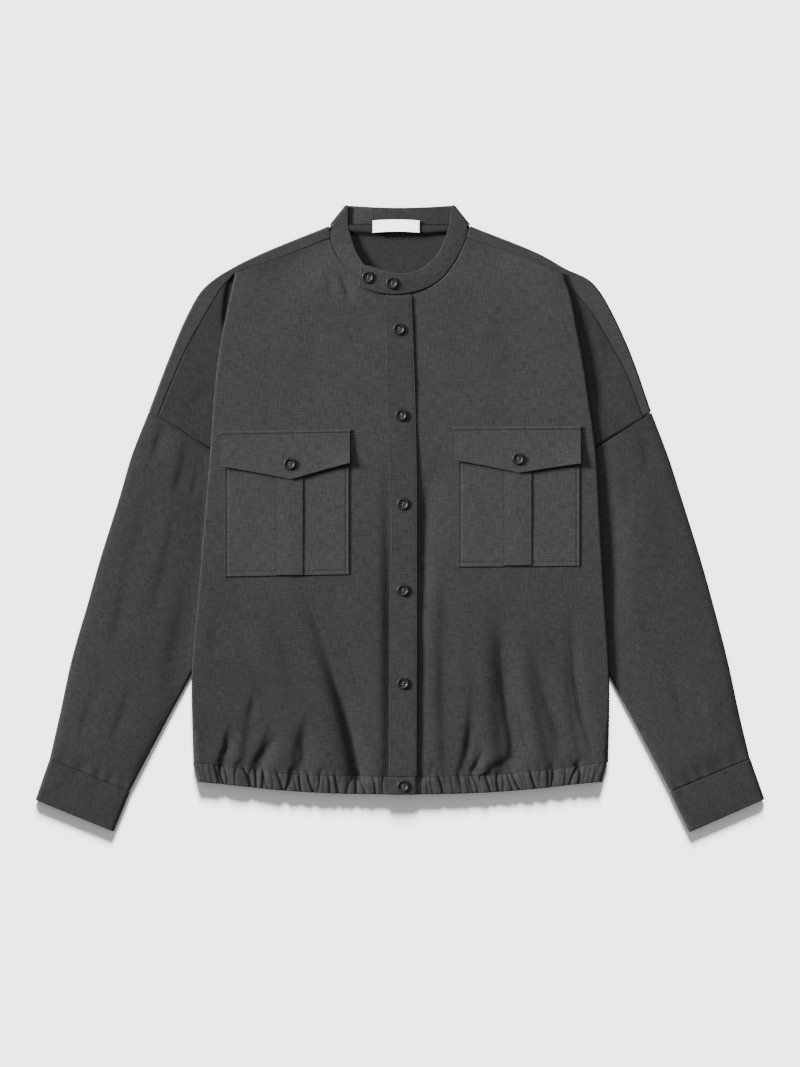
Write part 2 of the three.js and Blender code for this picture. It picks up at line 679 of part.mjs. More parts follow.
// The collar: a band whose two edges run from the wearer's right end, round the back, to the tab.
const COLLAR_RIGHT = [
  { topX: -2, topY: 289, seamX: -2, seamY: 274, lift: 0 },
  { topX: -20, topY: 292, seamX: -22, seamY: 275.5, lift: 0 },
  { topX: -38, topY: 300, seamX: -45, seamY: 288.5, lift: 0 },
  { topX: -46, topY: 309, seamX: -60, seamY: 298.5, lift: 0 },
  { topX: -53, topY: 322, seamX: -72, seamY: 310.5, lift: 0 },
  { topX: -58, topY: 337, seamX: -80, seamY: 325, lift: 0 },
  { topX: -62, topY: 353, seamX: -83.5, seamY: 340, lift: 0 },
];
const COLLAR_LEFT = [
  { topX: 59, topY: 353, seamX: 80.8, seamY: 343, lift: 0 },
  { topX: 54, topY: 337, seamX: 78.8, seamY: 335.8, lift: 0 },
  { topX: 47, topY: 321, seamX: 71.2, seamY: 317.5, lift: 0 },
  { topX: 37, topY: 308.5, seamX: 59.3, seamY: 298.7, lift: 0.2 },
  { topX: 24, topY: 298.5, seamX: 47.4, seamY: 286, lift: 0.6 },
  { topX: 11, topY: 294.5, seamX: 28, seamY: 274.6, lift: 2 },
  { topX: -4, topY: 294, seamX: 2, seamY: 268.8, lift: 3 },
  { topX: -18, topY: 297, seamX: -18, seamY: 269.4, lift: 3 },
  { topX: -33, topY: 301.5, seamX: -36, seamY: 273, lift: 3 },
  { topX: -47.5, topY: 305, seamX: -49, seamY: 278, lift: 3 },
];

function makeCollar() {
  const stations = [];
  const flatStation = (row) => {
    const edges = [];
    for (const share of shares(2)) {
      const x = lerp(row.topX, row.seamX, share);
      const y = lerp(row.topY, row.seamY, share);
      edges.push(new THREE.Vector3(x, y, frontLevel(x, y) + row.lift));
    }
    return edges;
  };
  const backLevel = DOUBLE_CLOTH / 2;
  const radius = (SHOULDER_LEVEL - backLevel) / 2;
  const turnStation = (sign, turn) =>
    shares(2).map((share) => {
      const angle = PI * (0.5 - turn);
      const reach = radius * cos(angle);
      const x = lerp(COLLAR_BACK.topX, COLLAR_BACK.seamX, share) - radius * 0.9 + reach;
      const y = lerp(COLLAR_BACK.topY, COLLAR_BACK.seamY, share);
      return new THREE.Vector3(sign * x, y, backLevel + radius + radius * sin(angle));
    });
  COLLAR_RIGHT.forEach((row) => stations.push(flatStation(row)));
  for (const turn of shares(BEND_STEPS)) stations.push(turnStation(-1, turn));
  for (const share of [0.25, 0.5, 0.75]) {
    stations.push(
      shares(2).map((down) => {
        const half = lerp(COLLAR_BACK.topX, COLLAR_BACK.seamX, down);
        const dip = (COLLAR_BACK.topY - COLLAR_BACK.dip) * sin(PI * share);
        const y = lerp(COLLAR_BACK.topY - dip, COLLAR_BACK.seamY, down);
        return new THREE.Vector3(lerp(-half, half, share), y, backLevel);
      }),
    );
  }
  for (const turn of shares(BEND_STEPS).reverse()) stations.push(turnStation(1, turn));
  COLLAR_LEFT.forEach((row) => stations.push(flatStation(row)));
  const rows = shares(2).map((_, j) => stations.map((station) => station[j]));
  return wall(rows, DOUBLE_CLOTH);
}

const LABEL_WALL = 1;

function makeLabel() {
  const height = DOUBLE_CLOTH + CLOTH / 2 + SEAM_GAP;
  const arch = 1.2;
  const rows = [343, 357.5].map((y) =>
    shares(4).map((u) => new THREE.Vector3(lerp(-32.5, 23.5, u), y + arch * sin(PI * u), height)),
  );
  return wall(rows, LABEL_WALL);
}

// Pockets. Each has a patch, a pleat strip, a flap with a point, and a welt above the flap.
const PATCH_WALL = 1;
const PATCH_LIFT = CLOTH / 2 + SEAM_GAP + PATCH_WALL / 2;
const PLEAT_LIFT = PATCH_LIFT + PATCH_WALL / 2 + SEAM_GAP + CLOTH / 2;
const FLAP_LIFT = PATCH_LIFT + PATCH_WALL / 2 + SEAM_GAP + DOUBLE_CLOTH / 2;
const FLAP_RISE = 2.6; // the flap's lower edge stands off, over the pleat strip
const WELT = 3.4;

function pocketPieces(side) {
  const { corner, width, slope, side: depth, point, drop, pleat, button } = POCKETS[side];
  const onFront = (x, y, lift) => new THREE.Vector3(x, y, frontLevel(x, y) + lift);
  const seamY = (u) => corner.y + slope * width * u;
  const across = (u) => corner.x + width * u;
  const patchRows = shares(3).map((v) =>
    shares(4).map((u) => onFront(across(lerp(0.02, 0.99, u)), seamY(u) - lerp(8, depth, v), PATCH_LIFT)),
  );
  const pleatTop = corner.y - drop.start;
  const pleatRows = shares(3).map((v) =>
    [pleat.from, pleat.to].map((x) => onFront(x, lerp(pleatTop, corner.y - depth + 2, v), PLEAT_LIFT)),
  );
  const flapRows = shares(3).map((v) =>
    [0, 0.18, 0.36, point, 0.72, 0.86, 1].map((u) => {
      const toPoint = u < point ? u / point : (1 - u) / (1 - point);
      const sideDrop = u < point ? drop.start : drop.end;
      const y = seamY(u) - lerp(sideDrop, drop.point, toPoint ** 1.1) * v;
      return onFront(across(u), y, FLAP_LIFT + FLAP_RISE * v * (0.5 + 0.5 * v));
    }),
  );
  const weltRows = shares(1).map((v) =>
    shares(4).map((u) => {
      const y = seamY(u) + SEAM_GAP + WELT * v;
      return onFront(across(lerp(-0.015, 1.01, u)), y, CLOTH / 2 + SEAM_GAP + DOUBLE_CLOTH / 2);
    }),
  );
  const buttonLift = FLAP_LIFT + FLAP_RISE + DOUBLE_CLOTH / 2 + 0.1;
  return {
    patch: wall(patchRows, PATCH_WALL),
    pleat: wall(pleatRows, CLOTH),
    flap: wall(flapRows, DOUBLE_CLOTH),
    welt: wall(weltRows, DOUBLE_CLOTH),
    button: onFront(button.x, button.y, buttonLift),
  };
}

// A button: a flat back, a rounded rim and a dished middle.
function makeButton() {
  const profile = [
    [0, 0],
    [BUTTON_RADIUS * 0.86, 0],
    [BUTTON_RADIUS, BUTTON_DEPTH * 0.45],
    [BUTTON_RADIUS * 0.9, BUTTON_DEPTH],
    [BUTTON_RADIUS * 0.66, BUTTON_DEPTH * 0.95],
    [BUTTON_RADIUS * 0.52, BUTTON_DEPTH * 0.6],
    [0, BUTTON_DEPTH * 0.6],
  ];
  const lathe = new THREE.LatheGeometry(profile.map(([x, y]) => new THREE.Vector2(x, y)), 14);
  lathe.rotateX(PI / 2);
  lathe.deleteAttribute("normal");
  lathe.deleteAttribute("uv");
  return mergeVertices(lathe, 1e-4);
}

const CLOTH_COLOR = 0x4a4b48;
const LABEL_COLOR = 0xe8e6e0;
const BUTTON_COLOR = 0x17191a;
const jacket = new THREE.Group();
jacket.name = "jacket";

function addPiece(name, geometry, color = CLOTH_COLOR) {
  geometry.computeVertexNormals();
  const material = new THREE.MeshStandardMaterial({ color, roughness: 0.9, metalness: 0 });
  const mesh = new THREE.Mesh(geometry, material);
  mesh.name = name;
  jacket.add(mesh);
  return mesh;
}

addPiece("back", makeBack());
for (const side of Object.keys(SIDES)) {
  addPiece("front_" + side, makeFront(side));
  addPiece("sleeve_" + side, makeSleeve(side));
  addPiece("cuff_" + side, makeCuff(side));
}
addPiece("hem_band", makeHemBand());
addPiece("placket", makePlacket());
addPiece("collar", makeCollar());
addPiece("neck_label", makeLabel(), LABEL_COLOR);

function addButton(name, point) {
  const material = new THREE.MeshStandardMaterial({ color: BUTTON_COLOR, roughness: 0.35, metalness: 0 });
  const mesh = new THREE.Mesh(makeButton(), material);
  mesh.name = name;
  mesh.position.copy(point);
  jacket.add(mesh);
}

for (const side of Object.keys(SIDES)) {
  const { patch, pleat, flap, welt, button } = pocketPieces(side);
  addPiece("pocket_" + side, patch);
  addPiece("pocket_pleat_" + side, pleat);
  addPiece("pocket_flap_" + side, flap);
  addPiece("pocket_welt_" + side, welt);
  addButton("button_pocket_" + side, button);
}

const PLACKET_BUTTONS = [
  { x: -1, y: 227 },
  { x: 1.5, y: 124 },
  { x: 3.6, y: 17.5 },
  { x: 3.6, y: -86 },
  { x: 3.6, y: -197.5 },
];
PLACKET_BUTTONS.forEach(({ x, y }, k) => {
  const z = frontLevel(x, y) + PLACKET_LIFT + BAND_CLOTH / 2 + 0.3;
  addButton("button_placket_" + (k + 1), new THREE.Vector3(x, y, z));
});
addButton("button_hem", new THREE.Vector3(3.6, -320.5, BODY_LEVEL + TAB_LIFT + BAND_CLOTH / 2 + 0.3));

const COLLAR_BUTTONS = [
  { x: -38.5, y: 289 },
  { x: -9.6, y: 282 },
];
COLLAR_BUTTONS.forEach(({ x, y }, k) => {
  const z = frontLevel(x, y - BUTTON_RADIUS) + 3 + DOUBLE_CLOTH / 2 + 0.4;
  addButton("button_collar_" + (k + 1), new THREE.Vector3(x, y, z));
});

export default jacket;
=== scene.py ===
"""Button-front jacket of light woven cloth, laid flat on a pale surface with its front up.

Sizes are in millimetres until a mesh is made, which is in metres. The surface is z = 0, the middle
front is x = 0 and the collar points to +Y. The wearer's right lies at -X.
"""

import bpy
import numpy as np
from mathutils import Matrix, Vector


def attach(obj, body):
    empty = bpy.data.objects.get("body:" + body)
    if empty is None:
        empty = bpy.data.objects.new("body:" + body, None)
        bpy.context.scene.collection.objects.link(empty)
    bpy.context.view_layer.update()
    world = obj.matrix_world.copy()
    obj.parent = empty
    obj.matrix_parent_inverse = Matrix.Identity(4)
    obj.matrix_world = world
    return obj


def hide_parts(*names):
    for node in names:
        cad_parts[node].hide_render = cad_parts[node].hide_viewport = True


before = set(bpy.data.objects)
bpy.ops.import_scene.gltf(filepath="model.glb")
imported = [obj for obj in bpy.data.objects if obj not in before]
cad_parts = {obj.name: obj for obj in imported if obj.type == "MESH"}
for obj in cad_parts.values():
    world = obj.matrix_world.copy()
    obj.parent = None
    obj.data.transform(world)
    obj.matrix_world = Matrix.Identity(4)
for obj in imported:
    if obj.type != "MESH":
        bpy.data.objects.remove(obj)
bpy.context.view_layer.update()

MM = 0.001
VIEW_PIXEL = 1.2  # millimetres of cloth across one pixel of the 800 x 1067 view
VIEW_HEIGHT = 1067 * VIEW_PIXEL
VIEW_ORIGIN = (400, 518.5)  # the pixel over x = 0 and y = 0
VIEW_MIDDLE = (0.0, -18.0)
VIEW_LEVEL = 9  # the height at which a pixel is that wide


def add_camera():
    data = bpy.data.cameras.new("camera")
    data.lens = 135
    data.sensor_width = 36
    camera = bpy.data.objects.new("camera", data)
    height = VIEW_HEIGHT * data.lens / data.sensor_width + VIEW_LEVEL
    camera.location = Vector((*VIEW_MIDDLE, height)) * MM
    bpy.context.scene.collection.objects.link(camera)
    bpy.context.scene.camera = camera


add_camera()

# Walls and levels of the layers
CLOTH = 1.2
DOUBLE_CLOTH = 1.6
BAND_CLOTH = 1.8
SEAM_GAP = 0.4
GROOVE = 0.9  # what shows of a seam's groove, beside the gap
FLOOR_LEVEL = CLOTH / 2
SHOULDER_LEVEL = 5.8
TUCK_LEVEL = 11.4
BODY_LEVEL = 13
CUFF_LEVEL = 9
FOLD_RADIUS = 1.7
HEM_Y = -291  # at the sides
HEM_SEAM_Y = -310  # at the middle
TUCK_Y = 295

SIGN = {"right": -1, "left": 1}

# Height y, and how far from the middle each side reaches there.
FOLD_EDGE = {
    "y": [-310, -235, -180, -86, 0, 82, 141, 188, 230, 267, 295],
    "right": [247, 249, 249, 241, 234, 227, 223, 218, 211, 203, 197],
    "left": [249, 250.5, 250, 244, 239, 234, 226, 219, 211, 204, 194],
}
CONTOUR = {
    "y": [351, 317, 300, 286, 272, 240, 195, 130, 75, 27, -50, -100, -170, -235, -287.6],
    "right": [86, 168, 202, 224, 239, 257, 276, 301, 322, 336, 360, 374, 394, 408, 420],
    "left": [85, 168, 198, 227, 240, 258, 278, 301, 321.5, 337, 361, 375, 393, 407, 419.5],
}
SHOULDER_SEAM = {
    "y": [337, 322, 305, 295, 276, 249, 211, 174, 122.4],
    "right": [84, 120, 168, 198, 215, 231, 253, 270, 291],
    "left": [80, 123, 168, 192, 207, 230, 253, 273, 292.5],
}
# Side seam below the underarm, and the hidden inner fold of the front above it.
HIDDEN_EDGE = {
    "y": [-310, -180, -100, 30, 100, 200, 295],
    "right": [236, 213, 189, 148, 160, 178, 189],
    "left": [238, 214, 189, 148, 161, 178, 187],
}
# Distance from the middle, and the heights of the hem band's seam and lower edge there.
HEM = {
    "x": [0, 65, 113, 163, 205, 245],
    "seam": [-310, -309, -307.5, -303, -298, -292],
    "lower": [-331, -330, -328, -324, -319.5, -315.5],
}
# Neck seams of the fronts, from the middle to the shoulder seam.
NECK_SEAM = {
    "right": [(-13, 270), (-30, 279), (-50, 291), (-71, 308), (-80, 323), (-84, 336)],
    "left": [(14, 270.5), (30, 274), (48, 285), (60, 298), (72, 317), (80, 336)],
}
# The placket's free edge and its seam edge at each height.
PLACKET = {
    "y": [266, 166, 106, 46, -14, -98, -310],
    "free": [-17, -16, -14, -12.5, -10.5, -12, -13],
    "seam": [14, 18, 19.5, 20.5, 20.5, 20.5, 20],
}
UNDERARM = (148, 30)
ARMHOLE_TOP = (301.5, 128)
SLEEVE_INNER = [(156, 34.3), (203, -75), (250, -184), (280, -241), (309, -296), (324.6, -326.2)]
CUFF_END = {
    "right": {"outer": (437, -338), "inner": (344.5, -375.5)},
    "left": {"outer": (437, -337), "inner": (348, -376.2)},
}
WRIST = {"outer": (420, -288.5), "inner": (325, -328)}


def smooth(value, low, high):
    t = np.clip((np.asarray(value, float) - low) / (high - low), 0, 1)
    return t * t * (3 - 2 * t)


def mix(a, b, t):
    return a + (b - a) * t


def read(table, key, name, at):
    """Smooth value of a table's column at places between its rows."""
    order = np.argsort(table[key])
    x = np.array(table[key], float)[order]
    y = np.array(table[name], float)[order]
    places = np.clip(np.asarray(at, float), x[0], x[-1])
    low = np.maximum(np.arange(len(x)) - 1, 0)
    high = np.minimum(np.arange(len(x)) + 1, len(x) - 1)
    slope = (y[high] - y[low]) / (x[high] - x[low])
    i = np.clip(np.searchsorted(x, places, side="left") - 1, 0, len(x) - 2)
    span = x[i + 1] - x[i]
    t = (places - x[i]) / span
    ends = mix(y[i], y[i + 1], t * t * (3 - 2 * t))
    leave = t * (1 - t) ** 2 * span * slope[i]
    arrive = t * t * (t - 1) * span * slope[i + 1]
    return ends + leave + arrive


def smooth_curve(points, per_span=40):
    """A smooth curve through points. It gives the places at shares of its length, from 0 to 1."""
    p = np.array(points, float)
    p = np.vstack([2 * p[0] - p[1], p, 2 * p[-1] - p[-2]])
    dense = [p[1]]
    for k in range(1, len(p) - 2):
        gap = [np.sqrt(np.linalg.norm(p[k + m] - p[k + m - 1])) for m in (0, 1, 2)]
        t = np.linspace(0, 1, per_span + 1)[1:, None]
        tangents = []
        for m in (0, 1):
            a, b, c = p[k + m - 1], p[k + m], p[k + m + 1]
            before, after = gap[m], gap[m + 1]
            slope = (b - a) / before - (c - a) / (before + after) + (c - b) / after
            tangents.append(slope * gap[1])
        ends = mix(p[k], p[k + 1], t * t * (3 - 2 * t))
        dense.extend(ends + tangents[0] * t * (1 - t) ** 2 + tangents[1] * t * t * (t - 1))
    dense = np.array(dense)
    steps = np.linalg.norm(np.diff(dense, axis=0), axis=1)
    along = np.concatenate([[0], np.cumsum(steps)]) / steps.sum()

    def place(share):
        share = np.clip(np.asarray(share, float), 0, 1)
        return np.stack([np.interp(share, along, dense[:, axis]) for axis in range(p.shape[1])], axis=-1)

    return place


def lift(plan, z):
    """Plan points with their height."""
    plan = np.asarray(plan, float)
    z = np.broadcast_to(np.asarray(z, float), plan.shape[:-1])
    return np.concatenate([plan, z[..., None]], axis=-1)


def points_of(x, y, z):
    """A grid of points, from parts that may be a single row or column."""
    return np.stack(np.broadcast_arrays(x, y, z), -1)


def unit(vectors):
    return vectors / np.maximum(np.linalg.norm(vectors, axis=-1, keepdims=True), 1e-9)


def straight_threads(grid, u_at, flat_columns):
    """UVs of a panel that lies flat in its first columns: its threads run straight across and down."""
    last = flat_columns - 1
    u = np.array(np.broadcast_to(u_at, grid.shape[:2]))
    beyond = np.sign(grid[0, last, 0]) * (u_at[flat_columns:] - u_at[last])
    u[:, :flat_columns] = grid[:, :flat_columns, 0]
    u[:, flat_columns:] = u[:, last:flat_columns] + beyond
    return u, grid[..., 1]


def shell(grid, thickness, ring=False, flat_columns=0):
    """Both faces and the rims of a wall round a grid of middle points: points, quads and their UVs.
    With ring, the last column joins the first."""
    row_count, column_count = grid.shape[:2]
    if ring:
        around = np.concatenate([grid[:, -1:], grid, grid[:, :1]], axis=1)
        across = around[:, 2:] - around[:, :-2]
    else:
        across = np.gradient(grid, axis=1)
    normal = unit(np.cross(across, np.gradient(grid, axis=0)))
    half = np.broadcast_to(np.asarray(thickness, float) / 2, grid.shape[:2])[..., None]
    points = np.concatenate([(grid + normal * half).reshape(-1, 3), (grid - normal * half).reshape(-1, 3)])
    middle_row = grid[row_count // 2]
    if ring:
        middle_row = np.vstack([middle_row, middle_row[:1]])
    middle_column = grid[:, column_count // 3]
    u_at, v_at = [
        np.concatenate([[0], np.cumsum(np.linalg.norm(np.diff(line, axis=0), axis=1))])
        for line in (middle_row, middle_column)
    ]
    u_grid, v_grid = np.broadcast_arrays(u_at[None], v_at[:, None])
    if flat_columns:
        u_grid, v_grid = straight_threads(grid, u_at, flat_columns)
    quads, uvs = [], []

    def add(corners):
        """Corners are four (face, row, column) places, and a ring's last column may be passed."""
        parts = [np.broadcast_arrays(*corner) for corner in corners]
        index = [f * row_count * column_count + j * column_count + i % column_count for f, j, i in parts]
        quads.append(np.stack(index, -1).reshape(-1, 4))
        uv = [np.stack([u_grid[j, i], v_grid[j, i]], -1) for f, j, i in parts]
        uvs.append(np.stack(uv, -2).reshape(-1, 4, 2))

    spans = column_count if ring else column_count - 1
    j, i = np.meshgrid(np.arange(row_count - 1), np.arange(spans), indexing="ij")
    add([(0, j, i), (0, j, i + 1), (0, j + 1, i + 1), (0, j + 1, i)])
    add([(1, j, i), (1, j + 1, i), (1, j + 1, i + 1), (1, j, i + 1)])
    i, last = np.arange(spans), row_count - 1
    add([(0, 0, i + 1), (0, 0, i), (1, 0, i), (1, 0, i + 1)])
    add([(0, last, i), (0, last, i + 1), (1, last, i + 1), (1, last, i)])
    if not ring:
        j, last = np.arange(row_count - 1), column_count - 1
        add([(0, j, 0), (0, j + 1, 0), (1, j + 1, 0), (1, j, 0)])
        add([(0, j + 1, last), (0, j, last), (1, j, last), (1, j + 1, last)])
    return outward(points, np.concatenate(quads), np.concatenate(uvs))


def outward(points, quads, uvs):
    a, b, c, d = [points[quads[:, k]] for k in range(4)]
    volume = np.sum(a * np.cross(b, c)) + np.sum(a * np.cross(c, d))
    if volume < 0:
        return points, quads[:, ::-1], uvs[:, ::-1]
    return points, quads, uvs


def make_object(name, shells, materials, indices=None):
    """One object made of shells, each with the index of its material."""
    starts = np.cumsum([0] + [len(points) for points, quads, uvs in shells[:-1]])
    points = np.concatenate([part[0] for part in shells]) * MM
    quads = np.concatenate([part[1] + start for part, start in zip(shells, starts)])
    uvs = np.concatenate([part[2] for part in shells]) * MM
    mesh = bpy.data.meshes.new(name)
    mesh.from_pydata(points.tolist(), [], quads.tolist())
    layer = mesh.uv_layers.new(name="cloth")
    layer.data.foreach_set("uv", uvs.astype(np.float32).ravel())
    for material in materials:
        mesh.materials.append(material)
    if indices:
        faces = np.concatenate([np.full(len(part[1]), index) for part, index in zip(shells, indices)])
        mesh.polygons.foreach_set("material_index", faces.astype(np.int32))
    mesh.polygons.foreach_set("use_smooth", np.ones(len(quads), bool))
    mesh.update()
    obj = bpy.data.objects.new(name, mesh)
    bpy.context.scene.collection.objects.link(obj)
    return obj


def piece(name, shells, materials, nodes=(), indices=None):
    obj = make_object(name, shells, materials, indices)
    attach(obj, "root")
    if nodes:
        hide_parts(*nodes)
    return obj


def bend(centre, direction, radius, from_top, count=10):
    """Columns of a bend that turns a layer over, in the upright planes through direction."""
    angle = (1 if from_top else -1) * np.pi * (0.5 - np.arange(1, count) / count)
    radius = np.broadcast_to(radius, centre.shape[:1])[:, None]
    plan = centre[:, None, :2] + direction[:, None, :2] * (radius * np.cos(angle))[..., None]
    return lift(plan, centre[:, None, 2] + radius * np.sin(angle))


def tucked(grid, at_end, reach, drop, share=1.0):
    """Adds two rows beyond the last or the first one, which run under the next piece at the seam.
    share is 1 in columns that go under, and 0 in those that only meet it."""
    edge, inner = (grid[-1], grid[-2]) if at_end else (grid[0], grid[1])
    out = unit((edge - inner) * [1, 1, 0])
    share = np.broadcast_to(share, edge.shape[:1])[:, None]
    near = edge + out * mix(0.3, 0.3 * reach, share) - [0, 0, 0.8 * drop] * share
    far = edge + out * mix(0.7, reach, share) - [0, 0, drop] * share
    rows = [grid, near[None], far[None]] if at_end else [far[None], near[None], grid]
    return np.concatenate(rows)


def sideways(grid):
    """The same grid with its rows and columns exchanged."""
    return grid.swapaxes(0, 1)


def between(start, end, shares):
    """Columns on straight lines between two sets of points."""
    return mix(start[:, None], end[:, None], np.asarray(shares)[None, :, None])


# Folds of the fronts, which run down to the hem: the heights where each starts and ends, its places
# across at the top, middle and foot, its width, and its depth, which is negative in a ridge.
FRONT_FOLDS = {
    "right": [
        (-50, -310, -122, -76, -47, 17, 3.4),
        (-90, -310, -98, -66, -36, 9, -1.6),
        (-200, -310, -172, -179, -186, 8, 1.8),
        (-240, -310, -200, -206, -214, 6, 2.4),
        (-235, -310, -148, -160, -178, 7, 2.6),
        (-240, -310, -116, -120, -126, 7, 2.2),
        (110, -310, -12, -8.5, -9, 11, 4.4),
    ],
    "left": [
        (-80, -310, 120, 123, 130, 13, 3),
        (-130, -310, 153, 171, 190, 12, 2.4),
        (-90, -310, 204, 208, 226, 9, 1.8),
        (-230, -310, 92, 84, 74, 7, 2.4),
        (-250, -310, 102, 96, 88, 6, 2),
        (100, -120, 62, 32, 24, 12, 2.4),
        (-40, -310, 54, 55, 58, 9, 1.4),
    ],
}
# Pleats of the gathered band: where each starts at the seam and ends at the lower edge, as pixels
# across the view, and its depth in millimetres.
PLEATS = {
    "right": {
        "seam": [197, 199.5, 205, 211, 216, 221, 225.5, 231, 237, 244, 250, 255.5, 262.5, 264, 271, 277, 283,
                 289.5, 294, 299, 303, 308, 315, 320, 325, 328, 335, 341, 347, 352, 356, 358, 366, 373, 379,
                 383],
        "foot": [196, 200, 205, 210, 217.5, 222, 226, 230, 234, 250, 252, 256, 262, 268, 273, 282.5, 284,
                 285.5, 297, 301, 307, 313.5, 314, 317.5, 324, 329.5, 338, 340, 345, 347, 356, 365, 367,
                 375.5, 380, 383],
        "depth": [1.4, 1.2, 0.9, 0.5, 1.3, 1.9, 1.3, 0.4, 0.7, 1.8, 0.5, 1.7, 1.6, 1.1, 0.4, 1.5, 0.4, 1.9,
                  0.7, 1.8, 0.5, 1.8, 0.4, 0.8, 0.5, 1.2, 1.7, 0.4, 0.5, 0.7, 1.8, 1.0, 0.4, 1.1, 0.5, 0.9],
    },
    "left": {
        "seam": [421, 426, 431, 438, 444, 451, 458, 465, 468, 472.5, 479, 485, 491, 497, 502, 507, 512, 519,
                 524, 530, 535, 540, 547, 552, 555.5, 564, 569, 575.5, 577, 585, 589, 594, 599, 602],
        "foot": [421, 427, 433, 443, 447, 454, 461, 470, 473.5, 478, 482, 490.5, 494, 498.5, 503, 512.5, 520,
                 523, 527, 535.5, 538, 541, 548, 551.5, 556, 565, 568, 570.5, 580, 585, 590, 594, 595.5, 605],
        "depth": [0.7, 0.4, 0.6, 1.5, 0.4, 0.5, 0.8, 0.8, 1.0, 1.2, 0.4, 1.6, 0.5, 1.7, 0.8, 1.2, 1.9, 0.4,
                  0.5, 1.8, 0.4, 0.7, 1.2, 1.8, 0.7, 0.8, 0.4, 1.7, 1.6, 0.5, 0.4, 0.8, 1.2, 1.6],
    },
}


def front_level(x, y):
    """Height of the fronts without their folds."""
    seam_level = mix(SHOULDER_LEVEL, TUCK_LEVEL, smooth(np.abs(x), 105, 185))
    return mix(seam_level, BODY_LEVEL, smooth(366 - 0.36 * np.abs(x) - y, 0, 70))


SLOW_RISE = 2.6  # how much wider a crease is on the side away from the light


def one_sided(offset, width):
    """Across a crease: a steep drop on the side of the light and a slow rise beyond."""
    return np.exp(-((offset / np.where(offset > 0, SLOW_RISE * width, width)) ** 2))


def fold_depth(side, x, y):
    depth = np.zeros(np.shape(x))
    for start, end, top, middle, foot, width, deep in FRONT_FOLDS[side]:
        t = np.clip((start - y) / (start - end), 0, 1)
        centre = top * (1 - t) * (1 - 2 * t) + foot * t * (2 * t - 1) + middle * 4 * t * (1 - t)
        across = one_sided(x - centre + 0.35 * width, 0.7 * width)
        fade_out = 1 - smooth(t, 0.7, 1) if end > HEM_Y else 1
        depth = depth + deep * across * smooth(t, 0, 0.55) * fade_out
    return depth


def pleat_depth(side, x, y):
    """Depth of the band's pleats, which run out a little above the seam as its puckers."""
    seam_y, foot_y = read(HEM, "x", "seam", np.abs(x)), read(HEM, "x", "lower", np.abs(x))
    down = (seam_y - y) / (seam_y - foot_y)
    depth = np.zeros(np.shape(x))
    table = PLEATS[side]
    for k, (seam, foot, deep) in enumerate(zip(table["seam"], table["foot"], table["depth"])):
        start, end = (seam - VIEW_ORIGIN[0]) * VIEW_PIXEL, (foot - VIEW_ORIGIN[0]) * VIEW_PIXEL
        bow = 1.2 * np.sin(2.3 * k) * np.sin(np.pi * np.clip(down, 0, 1))
        centre = mix(start, end, down) + bow
        above = np.maximum(y - seam_y, 0)
        reach = 1 - smooth(above, 0, 5 + 9 * abs(np.sin(1.7 * k)))
        width = 1.0 + 0.25 * deep + 0.08 * above
        depth = depth + deep * one_sided(x - centre, width) * reach
    return depth


def front_outline(side):
    """The four plan edges of a front: hem, middle, neck with shoulder, and the fold."""
    sign = SIGN[side]
    neck = [(x, y - SEAM_GAP) for x, y in NECK_SEAM[side]]
    rows = [(x, y) for x, y in zip(SHOULDER_SEAM[side], SHOULDER_SEAM["y"]) if TUCK_Y <= y < 336]
    shoulder = [(sign * x, y - 2 * SEAM_GAP) for x, y in rows]
    shoulder[-1] = (sign * (read(FOLD_EDGE, "y", side, TUCK_Y) - FOLD_RADIUS), shoulder[-1][1])
    neck_curve = smooth_curve(neck)
    shoulder_curve = smooth_curve([neck[-1], *shoulder])
    neck_share = 0.44

    def top(u):
        on_neck = neck_curve(np.minimum(u / neck_share, 1))
        on_shoulder = shoulder_curve((u - neck_share) / (1 - neck_share))
        return np.where((u < neck_share)[:, None], on_neck, on_shoulder)

    def middle(v):
        y = mix(HEM_SEAM_Y + SEAM_GAP, neck[0][1], v)
        if side == "left":
            x = read(PLACKET, "y", "seam", y) - 4
        else:
            x = mix(8, neck[0][0], smooth(y, 150, 270))
        return np.stack([np.where(v >= 1, neck[0][0], x), y], -1)

    middle_hem_x = middle(np.zeros(1))[0, 0]
    hem_end = sign * (read(FOLD_EDGE, "y", side, HEM_Y) - fold_radius(HEM_Y))

    def hem(u):
        x = mix(middle_hem_x, hem_end, u)
        return np.stack([x, read(HEM, "x", "seam", np.abs(x)) + SEAM_GAP], -1)

    hem_corner_y = hem(np.ones(1))[0, 1]

    def edge(v):
        y = mix(hem_corner_y, TUCK_Y - 2 * SEAM_GAP, v)
        return np.stack([sign * (read(FOLD_EDGE, "y", side, y) - fold_radius(y)), y], -1)

    return hem, top, middle, edge


def fold_radius(y):
    """The bend widens at the hem, where the front turns straight down to the back."""
    hem_radius = (BODY_LEVEL - FLOOR_LEVEL) / 2
    return mix(FOLD_RADIUS, hem_radius, smooth(-np.asarray(y, float), 215, 285))


def patch(outline, u, v):
    hem, top, middle, edge = outline
    ends = np.array([0.0, 1.0])
    (hem_a, hem_b), (top_a, top_b) = hem(ends), top(ends)
    u_grid, v_grid = u[None, :, None], v[:, None, None]
    lengthwise = mix(hem(u)[None], top(u)[None], v_grid)
    crosswise = mix(middle(v)[:, None], edge(v)[:, None], u_grid)
    corners = mix(mix(hem_a, hem_b, u_grid), mix(top_a, top_b, u_grid), v_grid)
    return lengthwise + crosswise - corners


FRONT_COLUMNS = 118
FRONT_ROWS = 250


def front_height(side, x, y):
    return front_level(x, y) - fold_depth(side, x, y) - pleat_depth(side, x, y) - wrinkles(side, x, y)


